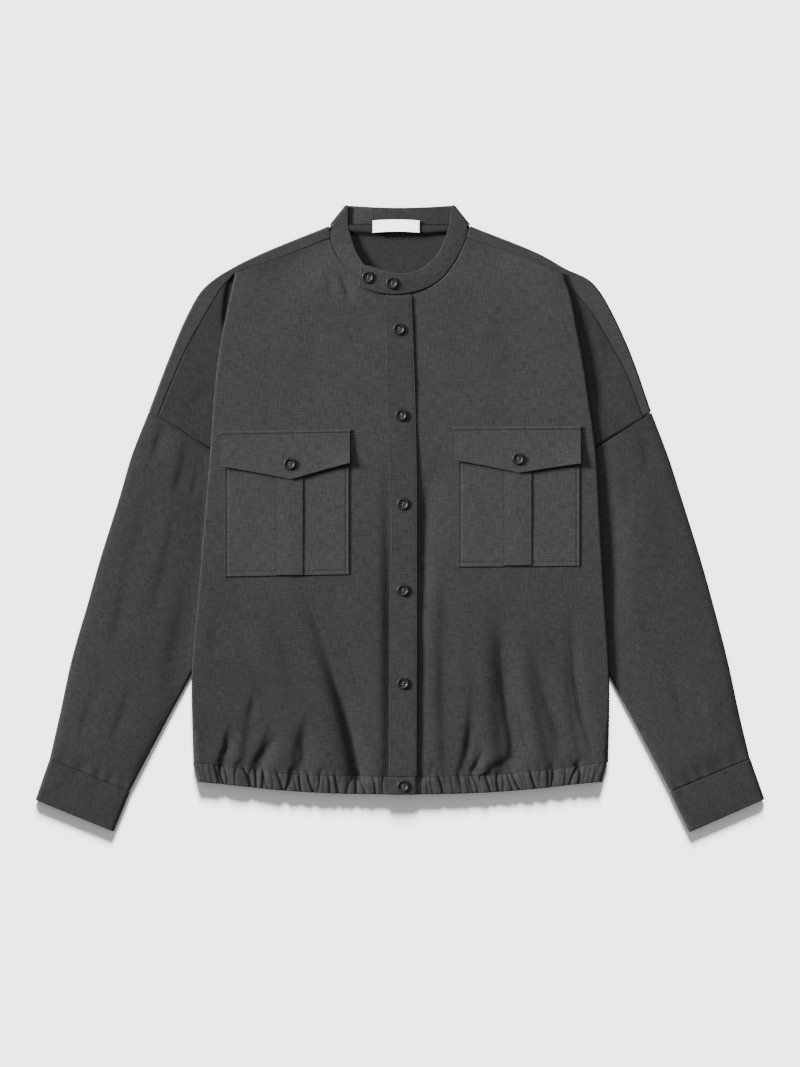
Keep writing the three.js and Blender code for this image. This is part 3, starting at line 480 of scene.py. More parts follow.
def front_shells(side):
    sign = SIGN[side]
    u = np.linspace(0, 1, FRONT_COLUMNS)
    v = np.linspace(0, 1, FRONT_ROWS) ** 1.2
    plan = patch(front_outline(side), u, v)
    x, y = plan[..., 0], plan[..., 1]
    level = front_level(x, y)
    near_fold = 1 - smooth(u, 0.93, 1)
    upper = lift(plan, level - (level - front_height(side, x, y)) * near_fold)
    last = upper[:, -1]
    radius = fold_radius(last[:, 1])
    out = np.tile([sign, 0.0], (len(last), 1))
    down = lift(np.zeros((len(last), 2)), radius)
    turn = bend(last - down, out, radius, True)
    under = under_layer(side, last - 2 * down)
    grid = np.concatenate([upper, turn, under], axis=1)
    columns = np.arange(grid.shape[1])
    grid = tucked(grid, False, 3, 1.6, np.where(columns < FRONT_COLUMNS - 4, 1, 0))
    grid = tucked(grid, True, 3, 1.4, np.where(columns < 0.43 * FRONT_COLUMNS, 1, 0))
    grid[..., 2] = np.maximum(grid[..., 2], FLOOR_LEVEL)
    return [shell(grid, CLOTH, flat_columns=FRONT_COLUMNS), arm_layer(side)]


def hidden_edge(side, y):
    return np.stack([SIGN[side] * read(HIDDEN_EDGE, "y", side, y), np.asarray(y, float)], -1)


def under_layer(side, start):
    """From the fold back under to the side seam, or above the underarm to the hidden inner fold."""
    y = start[:, 1]
    reach = np.abs(start[:, 0])
    seam = np.abs(hidden_edge(side, y)[:, 0])
    inner = np.interp(y, *np.array(SLEEVE_INNER[:5])[::-1, ::-1].T)
    seam_drop = smooth(UNDERARM[1] - y, 0, 45)
    over_sleeve = np.clip((reach - inner) / (reach - seam), 0.12, 0.9)
    knee = mix(0.5, over_sleeve, seam_drop)[:, None]
    share = np.linspace(0, 1, 16)[None]
    drop = smooth((share - knee) / (1 - knee), 0, 1) * seam_drop[:, None]
    x = SIGN[side] * mix(reach[:, None], seam[:, None], share)
    z = mix(start[:, 2:], FLOOR_LEVEL, drop)
    return points_of(x, y[:, None], z)


def shoulder_seam(side):
    rows = list(zip(SHOULDER_SEAM[side], SHOULDER_SEAM["y"]))
    neck_seam = smooth_curve([(SIGN[side] * x, y) for x, y in rows if y >= TUCK_Y])
    arm_seam = smooth_curve([(SIGN[side] * x, y) for x, y in rows if y <= TUCK_Y])
    return neck_seam, arm_seam


def arm_layer(side):
    """The part of the front over the arm, between the hidden inner fold and the shoulder seam."""
    share = np.linspace(0, 1, 110)
    inner = hidden_edge(side, mix(TUCK_Y - 4, UNDERARM[1] + 7, share))
    seam = shoulder_seam(side)[1](share)
    direction = unit(inner - seam)
    on_light_side = side == "left"
    seam = seam + direction * (SEAM_GAP + GROOVE * on_light_side)
    upper = front_level(inner[:, 0], inner[:, 1]) - 2 * FOLD_RADIUS
    radius = (upper - SHOULDER_LEVEL) / 2
    turn = inner - direction * radius[:, None]
    grip = lift(turn - direction * 5, upper)
    columns = [grip[:, None], lift(turn, upper)[:, None]]
    columns.append(bend(lift(turn, upper - radius), direction, radius, True))
    flat = between(lift(turn, SHOULDER_LEVEL), lift(seam, SHOULDER_LEVEL), np.linspace(0, 1, 70))
    creased = flat[..., 2] - wrinkles("arm_" + side, flat[..., 0], flat[..., 1])
    flat[..., 2] = np.maximum(creased, FLOOR_LEVEL + CLOTH + SEAM_GAP)
    columns.append(flat)
    grid = np.concatenate(columns, axis=1)
    if on_light_side:
        on_top = np.where(np.arange(grid.shape[1]) < grid.shape[1] - 70, 0, 1)
        grid = sideways(tucked(sideways(tucked(grid, True, 3.5, 1.4, on_top)), True, 3.5, 1.4))
    return shell(grid, CLOTH)


def shoulder_strip(side):
    """The back's strip that comes over the shoulder: its rows, and the plan line where it turns up."""
    contour = [(SIGN[side] * x, y) for x, y in zip(CONTOUR[side], CONTOUR["y"]) if y >= 130]
    contour[0] = (contour[0][0], contour[0][1] - SEAM_GAP)
    contour[-1] = (SIGN[side] * (ARMHOLE_TOP[0] - 0.2), ARMHOLE_TOP[1] + SEAM_GAP)
    neck_seam, arm_seam = shoulder_seam(side)
    share = np.linspace(0, 1, 90)
    seam = np.concatenate([neck_seam(share), arm_seam(share[1:])])
    neck_share = 0.47
    outer = smooth_curve(contour)(np.concatenate([neck_share * share, mix(neck_share, 1, share[1:])]))
    direction = unit(outer - seam)
    radius = (SHOULDER_LEVEL - FLOOR_LEVEL) / 2
    turn = outer - direction * radius
    on_light_side = np.where((np.arange(len(seam)) < len(share)) | (side == "right"), 1, 0)
    end = seam + direction * (SEAM_GAP + GROOVE * on_light_side[:, None])
    columns = [lift(turn - direction * 5, FLOOR_LEVEL)[:, None], lift(turn, FLOOR_LEVEL)[:, None]]
    columns.append(bend(lift(turn, FLOOR_LEVEL + radius), direction, radius, False))
    top = between(lift(turn, SHOULDER_LEVEL), lift(end, SHOULDER_LEVEL), np.linspace(0, 1, 22))
    columns.append(top)
    grid = np.concatenate(columns, axis=1)
    on_top = np.where(np.arange(grid.shape[1]) > 12, 1, 0)
    grid = tucked(grid, False, 4, 1.4, on_top)
    grid = sideways(tucked(sideways(grid), True, 4, 1.4, np.append([1, 1], on_light_side)))
    return shell(grid, CLOTH), turn


def back_shells():
    """The flat plate on the surface, and a strip over each shoulder."""
    shells, sides = [], {}
    for side in SIGN:
        strip, turn = shoulder_strip(side)
        shells.append(strip)
        seam_y = np.linspace(HEM_Y + 0.5, 0, 40)
        seam = hidden_edge(side, seam_y) - [SIGN[side] * 2 * SEAM_GAP, 0]
        underarm = [[SIGN[side] * UNDERARM[0], UNDERARM[1] + SEAM_GAP]]
        neck = [[SIGN[side] * COLLAR_BACK["seam_x"], COLLAR_BACK["seam_y"] - SEAM_GAP]]
        sides[side] = np.concatenate([seam, underarm, turn[::-1], neck])
    top_y = COLLAR_BACK["seam_y"] - SEAM_GAP
    y = mix(top_y, HEM_Y + 0.5, np.linspace(1, 0, 170) ** 1.6)
    ends = [np.interp(y, sides[side][:, 1], sides[side][:, 0]) for side in ("right", "left")]
    share = np.linspace(0, 1, 72)
    x = mix(ends[0][:, None], ends[1][:, None], share)
    hem_y = read(HEM, "x", "seam", np.abs(x[0])) + SEAM_GAP
    to_hem = (1 - smooth(y, y[0], y[0] + 60))[:, None]
    y_grid = y[:, None] + (hem_y - y[0])[None] * to_hem
    z = FLOOR_LEVEL + inside_neck_rise(x, y_grid)
    shells.append(shell(np.stack([x, y_grid, z], -1), CLOTH))
    return shells


COLLAR_STAND = 6  # rise of the stiff band behind, over the inside of the back
COLLAR_RISE = 1  # rise of its upper edge in front
COLLAR_BACK = {"top_x": 65, "seam_x": 83.5, "top_y": 376, "dip": 373, "seam_y": 353}

# Creases listed one by one: the path down in pixels of the view, then width and depth in millimetres.
# Ridges have a negative depth. "open" ones keep their depth to the path's end.
WRINKLES = {
    "right": [
        ([(338, 258), (343, 278), (352, 304)], 4, 2),
        ([(325, 262), (330, 285), (334, 300)], 5, 1.1),
        ([(292, 560), (316, 610), (337, 660), (350, 712), (357, 752), (361, 788)], 11, 3.4, "open"),
        ([(322, 645), (341, 705), (352, 750), (358, 788)], 5, 3.6, "open"),
        ([(306, 590), (330, 645), (352, 705)], 8, -1.2),
        ([(222, 470), (238, 560), (240, 650)], 14, 0.9),
        ([(300, 300), (310, 345), (306, 400)], 14, 0.7),
        ([(262, 590), (285, 650), (296, 715)], 9, 1.1),
        ([(240, 640), (262, 690), (270, 735)], 7, 0.9),
        ([(217, 585), (218, 625), (214, 665)], 9, 1.1),
        ([(250, 600), (262, 640), (268, 690)], 12, -0.8),
        ([(232, 300), (262, 318), (300, 322)], 11, 0.6),
        ([(250, 395), (290, 402), (340, 396)], 9, 0.5),
        ([(231, 723), (227, 738), (226, 748), (221, 757), (219, 772)], 2.6, 2),
        ([(246, 755), (240, 762), (232, 769)], 2.6, 1.8),
        ([(284, 728), (272, 742), (263, 754), (249, 770)], 4.4, 3),
        ([(257, 690), (252, 706), (249, 718)], 3, 1.6),
        ([(269, 759), (260, 764), (255, 774)], 1.8, 1.4),
        ([(310, 705), (303, 742), (304, 757), (292, 778)], 5, 3.2),
        ([(328, 766), (322, 770), (317, 780)], 1.8, 1.2),
        ([(357, 746), (363, 758), (370, 772)], 1.6, 1.1),
        ([(205, 715), (203, 740), (199, 766)], 4, 1),
    ],
    "left": [
        ([(453, 445), (425, 480), (419, 540)], 8, 1.2),
        ([(436, 600), (442, 670), (440, 740)], 8, 0.9),
        ([(540, 580), (556, 640), (566, 700)], 9, 0.9),
        ([(500, 290), (510, 340), (505, 400)], 14, 0.7),
        ([(447, 555), (446, 600), (449, 645)], 7, 0.9),
        ([(420, 400), (421, 560), (420, 800)], 4, 2.6, "open"),
        ([(502, 590), (502, 655), (508, 715), (513, 742), (511, 760), (492, 770)], 6.5, 4.2, "open"),
        ([(478, 600), (480, 650), (490, 710)], 7, -0.8),
        ([(526, 610), (545, 692), (560, 742), (553, 774)], 8, 3),
        ([(512, 690), (522, 725), (529, 755)], 3, 1.2),
        ([(570, 590), (574, 670), (581, 715), (588, 738), (596, 768)], 3.6, 2),
        ([(474, 670), (469, 735), (467, 760), (458, 778)], 4.5, 2),
        ([(486, 742), (480, 757), (475, 767), (467, 775)], 2.4, 2.4),
        ([(566, 750), (572, 760), (577, 772)], 2, 1.8),
        ([(584, 757), (579, 764), (576, 773)], 1.8, 1.6),
        ([(434, 755), (432, 766), (429, 778)], 2, 1.1),
        ([(556, 300), (520, 322), (480, 330)], 11, 0.6),
        ([(468, 395), (510, 402), (560, 394)], 9, 0.5),
    ],
    "arm_right": [
        ([(240, 250), (231, 282), (224, 335)], 4, 6.5),
        ([(205, 300), (196, 330), (186, 360)], 5, 0.9),
        ([(210, 380), (198, 400), (180, 412)], 6, 0.8),
    ],
    "arm_left": [
        ([(568, 282), (588, 350), (600, 425)], 9, 3),
        ([(592, 300), (606, 340), (612, 380)], 5, 1),
        ([(594, 380), (604, 405), (625, 420)], 6, 0.9),
    ],
    "sleeve_right": [
        ([(165, 415), (160, 434), (153, 460)], 4, 1.6),
        ([(188, 430), (184, 462), (173, 500)], 5, 1.8),
        ([(200, 440), (197, 470), (190, 505)], 3, 0.9),
        ([(180, 480), (168, 555), (150, 625)], 7, 1.5),
        ([(210, 430), (209, 490), (202, 575)], 6, 1.9),
        ([(192, 560), (182, 620), (164, 690)], 9, 1.2),
        ([(150, 470), (142, 520), (130, 570)], 8, 1),
        ([(132, 545), (123, 600), (112, 655)], 7, 1.3),
        ([(133, 675), (124, 710), (112, 742)], 5, 1),
        ([(96, 680), (88, 712), (80, 745)], 5, 0.9),
    ],
    "sleeve_left": [
        ([(600, 410), (605, 500), (609, 640)], 9, 3.4),
        ([(638, 422), (645, 450), (650, 480)], 5, 1.2),
        ([(622, 432), (626, 470), (632, 520)], 7, 1.2),
        ([(630, 540), (642, 600), (655, 660)], 9, 1),
        ([(655, 470), (664, 530), (676, 590)], 8, 0.8),
        ([(668, 640), (676, 690), (690, 735)], 6, 0.9),
        ([(700, 660), (708, 700), (716, 745)], 6, -0.9),
    ],
}
# The strip inside the back of the neck stands off the back: its lower edge, its height there, how
# soon it rises, and half its width.
FACING = {"edge_y": 338, "curve": 0.0009, "rise": 6.2, "fall": 6, "half": 60}


def seen(place):
    """Plan place of a pixel of the view."""
    return (place[0] - VIEW_ORIGIN[0]) * VIEW_PIXEL, (VIEW_ORIGIN[1] - place[1]) * VIEW_PIXEL


def wrinkles(where, x, y):
    depth = np.zeros(np.shape(x))
    for path, width, deep, *kind in WRINKLES[where]:
        line = smooth_curve([seen(place) for place in path])(np.linspace(0, 1, 17))
        margin = 3 * SLOW_RISE * width
        low, high = line.min(axis=0) - margin, line.max(axis=0) + margin
        near = (x > low[0]) & (x < high[0]) & (y > low[1]) & (y < high[1])
        if not near.any():
            continue
        points = np.stack([x[near], y[near]], -1)[:, None]
        start, step = line[:-1][None], np.diff(line, axis=0)[None]
        on_step = np.clip(np.sum((points - start) * step, -1) / np.sum(step * step, -1), 0, 1)
        apart = points - start - step * on_step[..., None]
        distance = np.linalg.norm(apart, axis=-1)
        closest = distance.argmin(axis=1)
        rows = np.arange(len(points))
        beyond = apart[..., 1] * step[..., 0] - apart[..., 0] * step[..., 1]
        offset = distance[rows, closest] * np.sign(beyond[rows, closest])
        along = (closest + on_step[rows, closest]) / step.shape[1]
        fade_out = 1 if kind == ["open"] else 1 - smooth(along, 0.7, 1)
        depth[near] += deep * one_sided(offset, width) * smooth(along, 0, 0.6) * fade_out
    return depth


def inside_neck_rise(x, y):
    above = y - FACING["edge_y"] - FACING["curve"] * x**2
    ends = 1 - smooth(np.abs(x), FACING["half"], FACING["half"] + 12)
    return FACING["rise"] * smooth(above, 0, FACING["fall"]) * ends


def tube(outer, inner, level, thickness, puff, columns):
    """A flattened tube: upper layer, bend on the inner edge, lower layer, bend on the outer edge."""
    floor = thickness / 2
    level = np.broadcast_to(level, outer.shape[:1])
    radius = (level - floor) / 2
    direction = unit(inner - outer)
    outer_turn = outer + direction * radius[:, None]
    inner_turn = inner - direction * radius[:, None]
    share = np.linspace(0, 1, columns)
    upper = between(lift(outer_turn, level), lift(inner_turn, level), share)
    upper[..., 2] += puff(share[None], upper[..., 0], upper[..., 1])
    parts = [upper, bend(lift(inner_turn, floor + radius), direction, radius, True)]
    parts.append(between(lift(inner_turn, floor), lift(outer_turn, floor), np.linspace(0, 1, 12)))
    parts.append(bend(lift(outer_turn, floor + radius), -direction, radius, False))
    return np.concatenate(parts, axis=1)


def sleeve_shell(side):
    sign = SIGN[side]
    contour = [(sign * x, y) for x, y in zip(CONTOUR[side], CONTOUR["y"]) if y < 120]
    armhole = (sign * ARMHOLE_TOP[0], ARMHOLE_TOP[1] - 1.5 * SEAM_GAP)
    in_light = side == "right"
    v = np.linspace(0 if in_light else 0.003, 1, 210)
    outer = smooth_curve([armhole, *contour])(v)
    inner = smooth_curve([(sign * x, y) for x, y in SLEEVE_INNER])(v)
    level = mix(SHOULDER_LEVEL, CUFF_LEVEL, smooth(v, 0.55, 1))
    to_cuff = (1 - smooth(v, 0.93, 1))[:, None]

    def puff(share, x, y):
        beyond = np.abs(x) - read(FOLD_EDGE, "y", side, np.maximum(y, HEM_SEAM_Y))
        arch = np.sqrt(np.maximum(4 * share * (1 - share), 0))
        creases = wrinkles("sleeve_" + side, x, y) * smooth(beyond, 0, 8)
        gathered = 0.5 * np.sin(share * 30 + np.sin(share * 9)) * smooth(v, 0.94, 1)[:, None] * arch
        return 3 * smooth(beyond, 0, 45) * arch * to_cuff - creases * np.minimum(arch * 1.6, 1) + gathered

    upper_columns = 74
    grid = tube(outer, inner, level, CLOTH, puff, upper_columns)
    on_top = np.where(np.arange(grid.shape[1]) < upper_columns, 1, 0)
    grid = tucked(tucked(grid, False, 3, 1.4, on_top * in_light), True, 3, 1.5, on_top)
    return shell(grid, CLOTH, ring=True)


def cuff_shell(side):
    sign = SIGN[side]
    v = np.linspace(0, 1, 44)[:, None]
    outer = mix(np.array(WRIST["outer"], float), np.array(CUFF_END[side]["outer"], float), v) * [sign, 1]
    inner = mix(np.array(WRIST["inner"], float), np.array(CUFF_END[side]["inner"], float), v) * [sign, 1]

    def puff(share, x, y):
        arch = np.sqrt(np.maximum(4 * share * (1 - share), 0))
        return arch * (0.8 * np.sin(np.pi * v) + 0.35 * np.sin(share * 17 + 2 * v + sign) * (1 - v))

    return shell(tube(outer, inner, CUFF_LEVEL, DOUBLE_CLOTH, puff, 90), DOUBLE_CLOTH, ring=True)


TAB_LIFT = 2.6
PLACKET_LIFT = 2.1


def hem_band_grid():
    """Gathers on the front, flat on the surface behind, and a plain end over the middle front."""
    side_radius = (BODY_LEVEL - BAND_CLOTH / 2) / 2
    side_x = 245 - side_radius
    share = np.linspace(0, 1, 17)
    right = ("right", np.linspace(8, -side_x, 380))
    left = ("left", np.linspace(side_x, -13, 390))

    def heights(x, name):
        return read(HEM, "x", name, np.abs(x))

    def tapered(x):
        """The band is as wide as the body at its seam, and draws in at its lower edge."""
        return x * (1 + mix(0.012, -0.012, share[:, None]) * smooth(np.abs(x), 150, side_x))

    def front(side, x):
        y = mix(heights(x, "seam"), heights(x, "lower"), share[:, None])
        x = np.broadcast_to(x, y.shape)
        folds = fold_depth(side, x, y) * (1 - smooth(np.abs(x), 225, 236)) * (1 - 0.8 * share[:, None])
        creases = wrinkles(side, x[0], heights(x[0], "seam"))
        folds = folds + creases * (1 - smooth(share[:, None], 0, 0.5))
        ends = 1 - 0.6 * smooth(np.abs(x), 228, 236)
        rim = 0.6 * (2 * share[:, None] - 1) ** 6
        z = BODY_LEVEL - folds - 1.4 * pleat_depth(side, x, y) * ends - rim
        if side == "left":
            z = z + TAB_LIFT * (1 - smooth(x, 17, 23))
        z = np.maximum(z, 1.5 * BAND_CLOTH + SEAM_GAP)
        return np.stack([tapered(x), y, z], -1)

    def turn(side):
        angle = np.pi * (0.5 - np.arange(1, 12) / 12)
        x = SIGN[side] * (side_x + side_radius * np.cos(angle))
        y = mix(heights(side_x, "seam"), heights(side_x, "lower"), share[:, None])
        z = BAND_CLOTH / 2 + side_radius * (1 + np.sin(angle))
        return points_of(tapered(x[None]), y, z[None])

    back_x = np.linspace(-side_x, side_x, 90)
    back_y = mix(heights(back_x, "seam"), heights(back_x, "lower"), share[:, None])
    back = points_of(tapered(back_x[None]), back_y, BAND_CLOTH / 2)
    parts = [front(*right), turn("right"), back, turn("left")[:, ::-1], front(*left)]
    return np.concatenate(parts, axis=1)


def placket_grid():
    v = np.linspace(0, 1, 400)[:, None]
    u = np.concatenate([[0], np.linspace(0.02, 0.98, 20), [1]])[None]
    y = mix(HEM_SEAM_Y + SEAM_GAP + 0.2, PLACKET["y"][0], v) + 0 * u
    x = mix(read(PLACKET, "y", "free", y), read(PLACKET, "y", "seam", y), u)
    waves = 0.35 * np.sin(y / 31 + 1) + 0.25 * np.sin(y / 13 + x / 9)
    rim = 0.5 * np.maximum(2 * u - 1, 0) ** 8
    z = front_level(x, y) + PLACKET_LIFT + waves * smooth(PLACKET["y"][0] - y, 0, 40) - rim
    return tucked(np.stack([x, y, z], -1), True, 5, 1.7)


# The collar's edges, from the wearer's right end round the back to the tab, and how far it lies
# above the fronts.
COLLAR_RIGHT = {
    "top_x": [-2, -20, -38, -46, -53, -58, -62],
    "top_y": [289, 292, 300, 309, 322, 337, 353],
    "seam_x": [-2, -22, -45, -60, -72, -80, -83.5],
    "seam_y": [274, 275.5, 288.5, 298.5, 310.5, 325, 340],
    "lift": [0, 0, 0, 0, 0, 0, 0],
}
COLLAR_LEFT = {
    "top_x": [59, 54, 47, 37, 24, 11, -4, -18, -33, -47.5],
    "top_y": [353, 337, 321, 308.5, 298.5, 294.5, 294, 297, 301.5, 305],
    "seam_x": [80.8, 78.8, 71.2, 59.3, 47.4, 28, 2, -18, -36, -49],
    "seam_y": [343, 335.8, 317.5, 298.7, 286, 274.6, 268.8, 269.4, 273, 278],
    "lift": [0, 0, 0, 0, 0.2, 1.2, 2.6, 3, 3, 3],
}


def collar_grid():
    back_level = DOUBLE_CLOTH / 2
    radius = (SHOULDER_LEVEL - back_level) / 2
    halves = np.array([0, 0.5, 1])

    def flat(table):
        x = mix(*[np.array(table[name], float)[:, None] for name in ("top_x", "seam_x")], halves)
        y = mix(*[np.array(table[name], float)[:, None] for name in ("top_y", "seam_y")], halves)
        rise = COLLAR_RISE * (1 - 1.5 * halves)
        return np.stack([x, y, front_level(x, y) + np.array(table["lift"])[:, None] + rise], -1)

    def back(sign, angle):
        reach = radius * np.cos(angle)[:, None]
        x = sign * (mix(COLLAR_BACK["top_x"], COLLAR_BACK["seam_x"], halves) - radius * 0.9 + reach)
        y = mix(COLLAR_BACK["top_y"], COLLAR_BACK["seam_y"], halves)
        return points_of(x, y, back_level + radius * (1 + np.sin(angle))[:, None])

    angle = np.pi * np.linspace(0.5, -0.5, 5)
    share = np.array([0.25, 0.5, 0.75])[:, None]
    half = mix(COLLAR_BACK["top_x"], COLLAR_BACK["seam_x"], halves)
    dip = (COLLAR_BACK["top_y"] - COLLAR_BACK["dip"]) * np.sin(np.pi * share)
    y = mix(COLLAR_BACK["top_y"] - dip, COLLAR_BACK["seam_y"], halves)
    stand = COLLAR_STAND * mix(1, 0.75, halves) * np.sin(np.pi * share) ** 0.5
    middle = np.stack([mix(-half, half, share), y, back_level + stand], -1)
    stations = np.concatenate(
        [flat(COLLAR_RIGHT), back(-1, angle), middle, back(1, angle[::-1]), flat(COLLAR_LEFT)]
    )
    fine = smooth_curve(stations.reshape(-1, 9), 12)(np.linspace(0, 1, 420)).reshape(-1, 3, 3)
    t = np.linspace(0, 1, 17)[:, None, None]
    grid = fine[:, 0] * (1 - t) * (1 - 2 * t) + fine[:, 1] * 4 * t * (1 - t) + fine[:, 2] * t * (2 * t - 1)
    grid[..., 2] += 0.45 * np.sin(np.pi * t[..., 0])
    return grid


LABEL = {"from_x": -32.5, "to_x": 23.5, "from_y": 343, "to_y": 357.5}


def label_shells():
    """Sewn down at its two ends and its upper edge, with its lower edge standing off."""
    u = np.linspace(0, 1, 70)[None]
    v = np.linspace(0, 1, 22)[:, None]
    x = mix(LABEL["from_x"], LABEL["to_x"], u)
    y = mix(LABEL["from_y"], LABEL["to_y"], v) + 1.2 * np.sin(np.pi * u)
    on_collar = DOUBLE_CLOTH + COLLAR_STAND + 1.2
    lifted = 1.2 * (1 - v) ** 2 * np.sin(np.pi * u) ** 0.6
    wave = 0.25 * np.sin(u * 12) * (1 - v)
    grid = points_of(x, y, on_collar + lifted + wave)
    sewn = [grid[2:-2, column] + [0, 0, 0.5] for column in (2, -3)]
    return [shell(grid, 1.0)] + [stitches(line, pitch=2.2, long=1.6) for line in sewn]


def stitches(line, pitch=3.0, long=2.2, radius=0.24):
    """Short threads along a line of points, each with four rings of four corners."""
    along = np.concatenate([[0], np.cumsum(np.linalg.norm(np.diff(line, axis=0), axis=1))])
    centres = (np.arange(int(along[-1] // pitch)) + 0.5) * pitch

    def on_line(at):
        return np.stack([np.interp(at, along, line[:, axis]) for axis in range(3)], -1)

    start, end = on_line(centres - long / 2), on_line(centres + long / 2)
    side = unit(np.cross(end - start, [0, 0, 1.0]))
    up = unit(np.cross(side, end - start))
    angle = np.pi / 2 * np.arange(4)
    rings = []
    for share, width in [(0, 0.3), (0.2, 1), (0.8, 1), (1, 0.3)]:
        middle = mix(start, end, share)[:, None]
        spread = side[:, None] * np.cos(angle)[:, None] + up[:, None] * np.sin(angle)[:, None]
        rings.append(middle + spread * radius * width)
    points = np.stack(rings, 1).reshape(-1, 3)
    corner = np.arange(4)
    after = (corner + 1) % 4
    one = [np.stack([corner, after, 4 + after, 4 + corner], -1) + 4 * k for k in range(3)]
    one.append(np.array([[3, 2, 1, 0], [12, 13, 14, 15]]))
    one = np.concatenate(one)
    quads = (one[None] + 16 * np.arange(len(centres))[:, None, None]).reshape(-1, 4)
    return outward(points, quads, np.zeros((len(quads), 4, 2)))


# Pockets. Each has a patch, a pleat strip, a flap with a point, and a welt above the flap.
PATCH_WALL = 1
PATCH_LIFT = CLOTH / 2 + SEAM_GAP + PATCH_WALL / 2
PLEAT_LIFT = PATCH_LIFT + PATCH_WALL / 2 + SEAM_GAP + CLOTH / 2
FLAP_LIFT = PATCH_LIFT + PATCH_WALL / 2 + SEAM_GAP + DOUBLE_CLOTH / 2
WELT_LIFT = CLOTH / 2 + SEAM_GAP + DOUBLE_CLOTH / 2
FLAP_RISE = 2.6
WELT = 3.4
POCKETS = {
    "right": {
        "corner": (-214, 100.3),
        "width": 154,
        "slope": 0.018,
        "side": 170,
        "point": 0.545,
        "drop": {"start": 38.5, "point": 55, "end": 37},
        "pleat": (-148, -116.5),
        "button": (-132, 65.5),
    },
    "left": {
        "corner": (66, 105.5),
        "width": 150.5,
        "slope": 0.008,
        "side": 163.5,
        "point": 0.51,
        "drop": {"start": 36, "point": 51.5, "end": 41},
        "pleat": (124.5, 157.5),
        "button": (141.4, 71.3),
    },
}


def edged(count, rim):
    """Shares from 0 to 1 with a close pair at each end, which keeps a cut edge crisp."""
    return np.concatenate([[0], np.linspace(rim, 1 - rim, count - 2), [1]])


def seamed(count, rim, seam):
    """The same, with close lines about a seam that runs beside each edge."""
    near = seam * np.array([0.7, 0.85, 1, 1.15, 1.3])
    inside = np.linspace(1.6 * seam, 1 - 1.6 * seam, count)
    return np.concatenate([[0, rim], near, inside, 1 - near[::-1], [1 - rim, 1]])


def pocket_grids(side):
    """Grids of the pocket's four pieces and the place of its button."""
    pocket = POCKETS[side]
    corner_x, corner_y = pocket["corner"]
    drop, point = pocket["drop"], pocket["point"]

    def on_front(x, y, height):
        x, y = np.broadcast_arrays(x, y)
        return points_of(x, y, front_level(x, y) - wrinkles(side, x, y) + height)

    def seam_y(u):
        return corner_y + pocket["slope"] * pocket["width"] * u

    def across(u):
        return corner_x + pocket["width"] * u

    pleat_left = (pocket["pleat"][0] - corner_x) / pocket["width"]
    by_pleat = pleat_left + 0.006 * np.arange(-3, 2)
    u = np.sort(np.concatenate([seamed(60, 0.003, 0.026), by_pleat]))[None]
    v = seamed(66, 0.003, 0.024)[:, None]
    patch_u = mix(0.02, 0.99, u)
    soft = 0.5 * np.sin(u * 5 + v * 3) * np.sin(np.pi * u) * np.sin(np.pi * v)
    x, y = across(patch_u), seam_y(patch_u) - mix(8, pocket["side"], v)
    edge_lines = one_sided(u - 0.024, 0.003) + one_sided(u - 0.976, 0.003) + one_sided(0.974 - v, 0.003)
    beside_pleat = one_sided(u - pleat_left, 0.008)
    soft = soft - 0.55 * np.minimum(edge_lines, 1) - 0.6 * beside_pleat
    patch_grid = on_front(x, y, PATCH_LIFT + 0.35 + soft)

    u = edged(16, 0.015)[None]
    pleat_y = mix(corner_y - drop["start"], corner_y - pocket["side"] + 2, v)
    pleat_grid = on_front(mix(*pocket["pleat"], u), pleat_y, PLEAT_LIFT + 0.5 * np.sin(np.pi * u))

    u, v = edged(110, 0.003)[None], edged(42, 0.01)[:, None]
    to_point = np.where(u < point, u / point, (1 - u) / (1 - point))
    side_drop = np.where(u < point, drop["start"], drop["end"])
    flap_y = seam_y(u) - mix(side_drop, drop["point"], to_point**1.1) * v
    rise = FLAP_RISE * v * (0.5 + 0.5 * v)
    free_corner = smooth(u, 0.8, 1) + 0.5 * smooth(1 - u, 0.85, 1)
    corner_curl = 1.5 * v**2 * (free_corner + 0.3 * np.sin(7 * u + 1) ** 2)
    flap_grid = on_front(across(u), flap_y, FLAP_LIFT + rise + corner_curl)

    u, v = np.linspace(0, 1, 90)[None], np.linspace(0, 1, 7)[:, None]
    welt_u = mix(-0.015, 1.01, u)
    round_top = 0.5 * np.sin(np.pi * v)
    welt_grid = on_front(across(welt_u), seam_y(welt_u) + SEAM_GAP + WELT * v, WELT_LIFT + round_top)

    button = on_front(*[np.array(value, float) for value in pocket["button"]], FLAP_LIFT + FLAP_RISE)
    return {"patch": patch_grid, "pleat": pleat_grid, "flap": flap_grid, "welt": welt_grid}, button


BUTTON_RADIUS = 7.2
BUTTON_DEPTH = 2.6
HOLE_REACH = 1.75
BUTTON_ROWS = 42
BUTTON_SIDES = 44
BUTTON_PROFILE = [(0.02, 0), (0.5, 0), (0.86, 0), (0.97, 0.2), (1, 0.45), (0.97, 0.82), (0.9, 1), (0.8, 1.02),
                  (0.68, 0.93), (0.6, 0.7), (0.5, 0.62), (0.25, 0.6), (0.02, 0.6)]


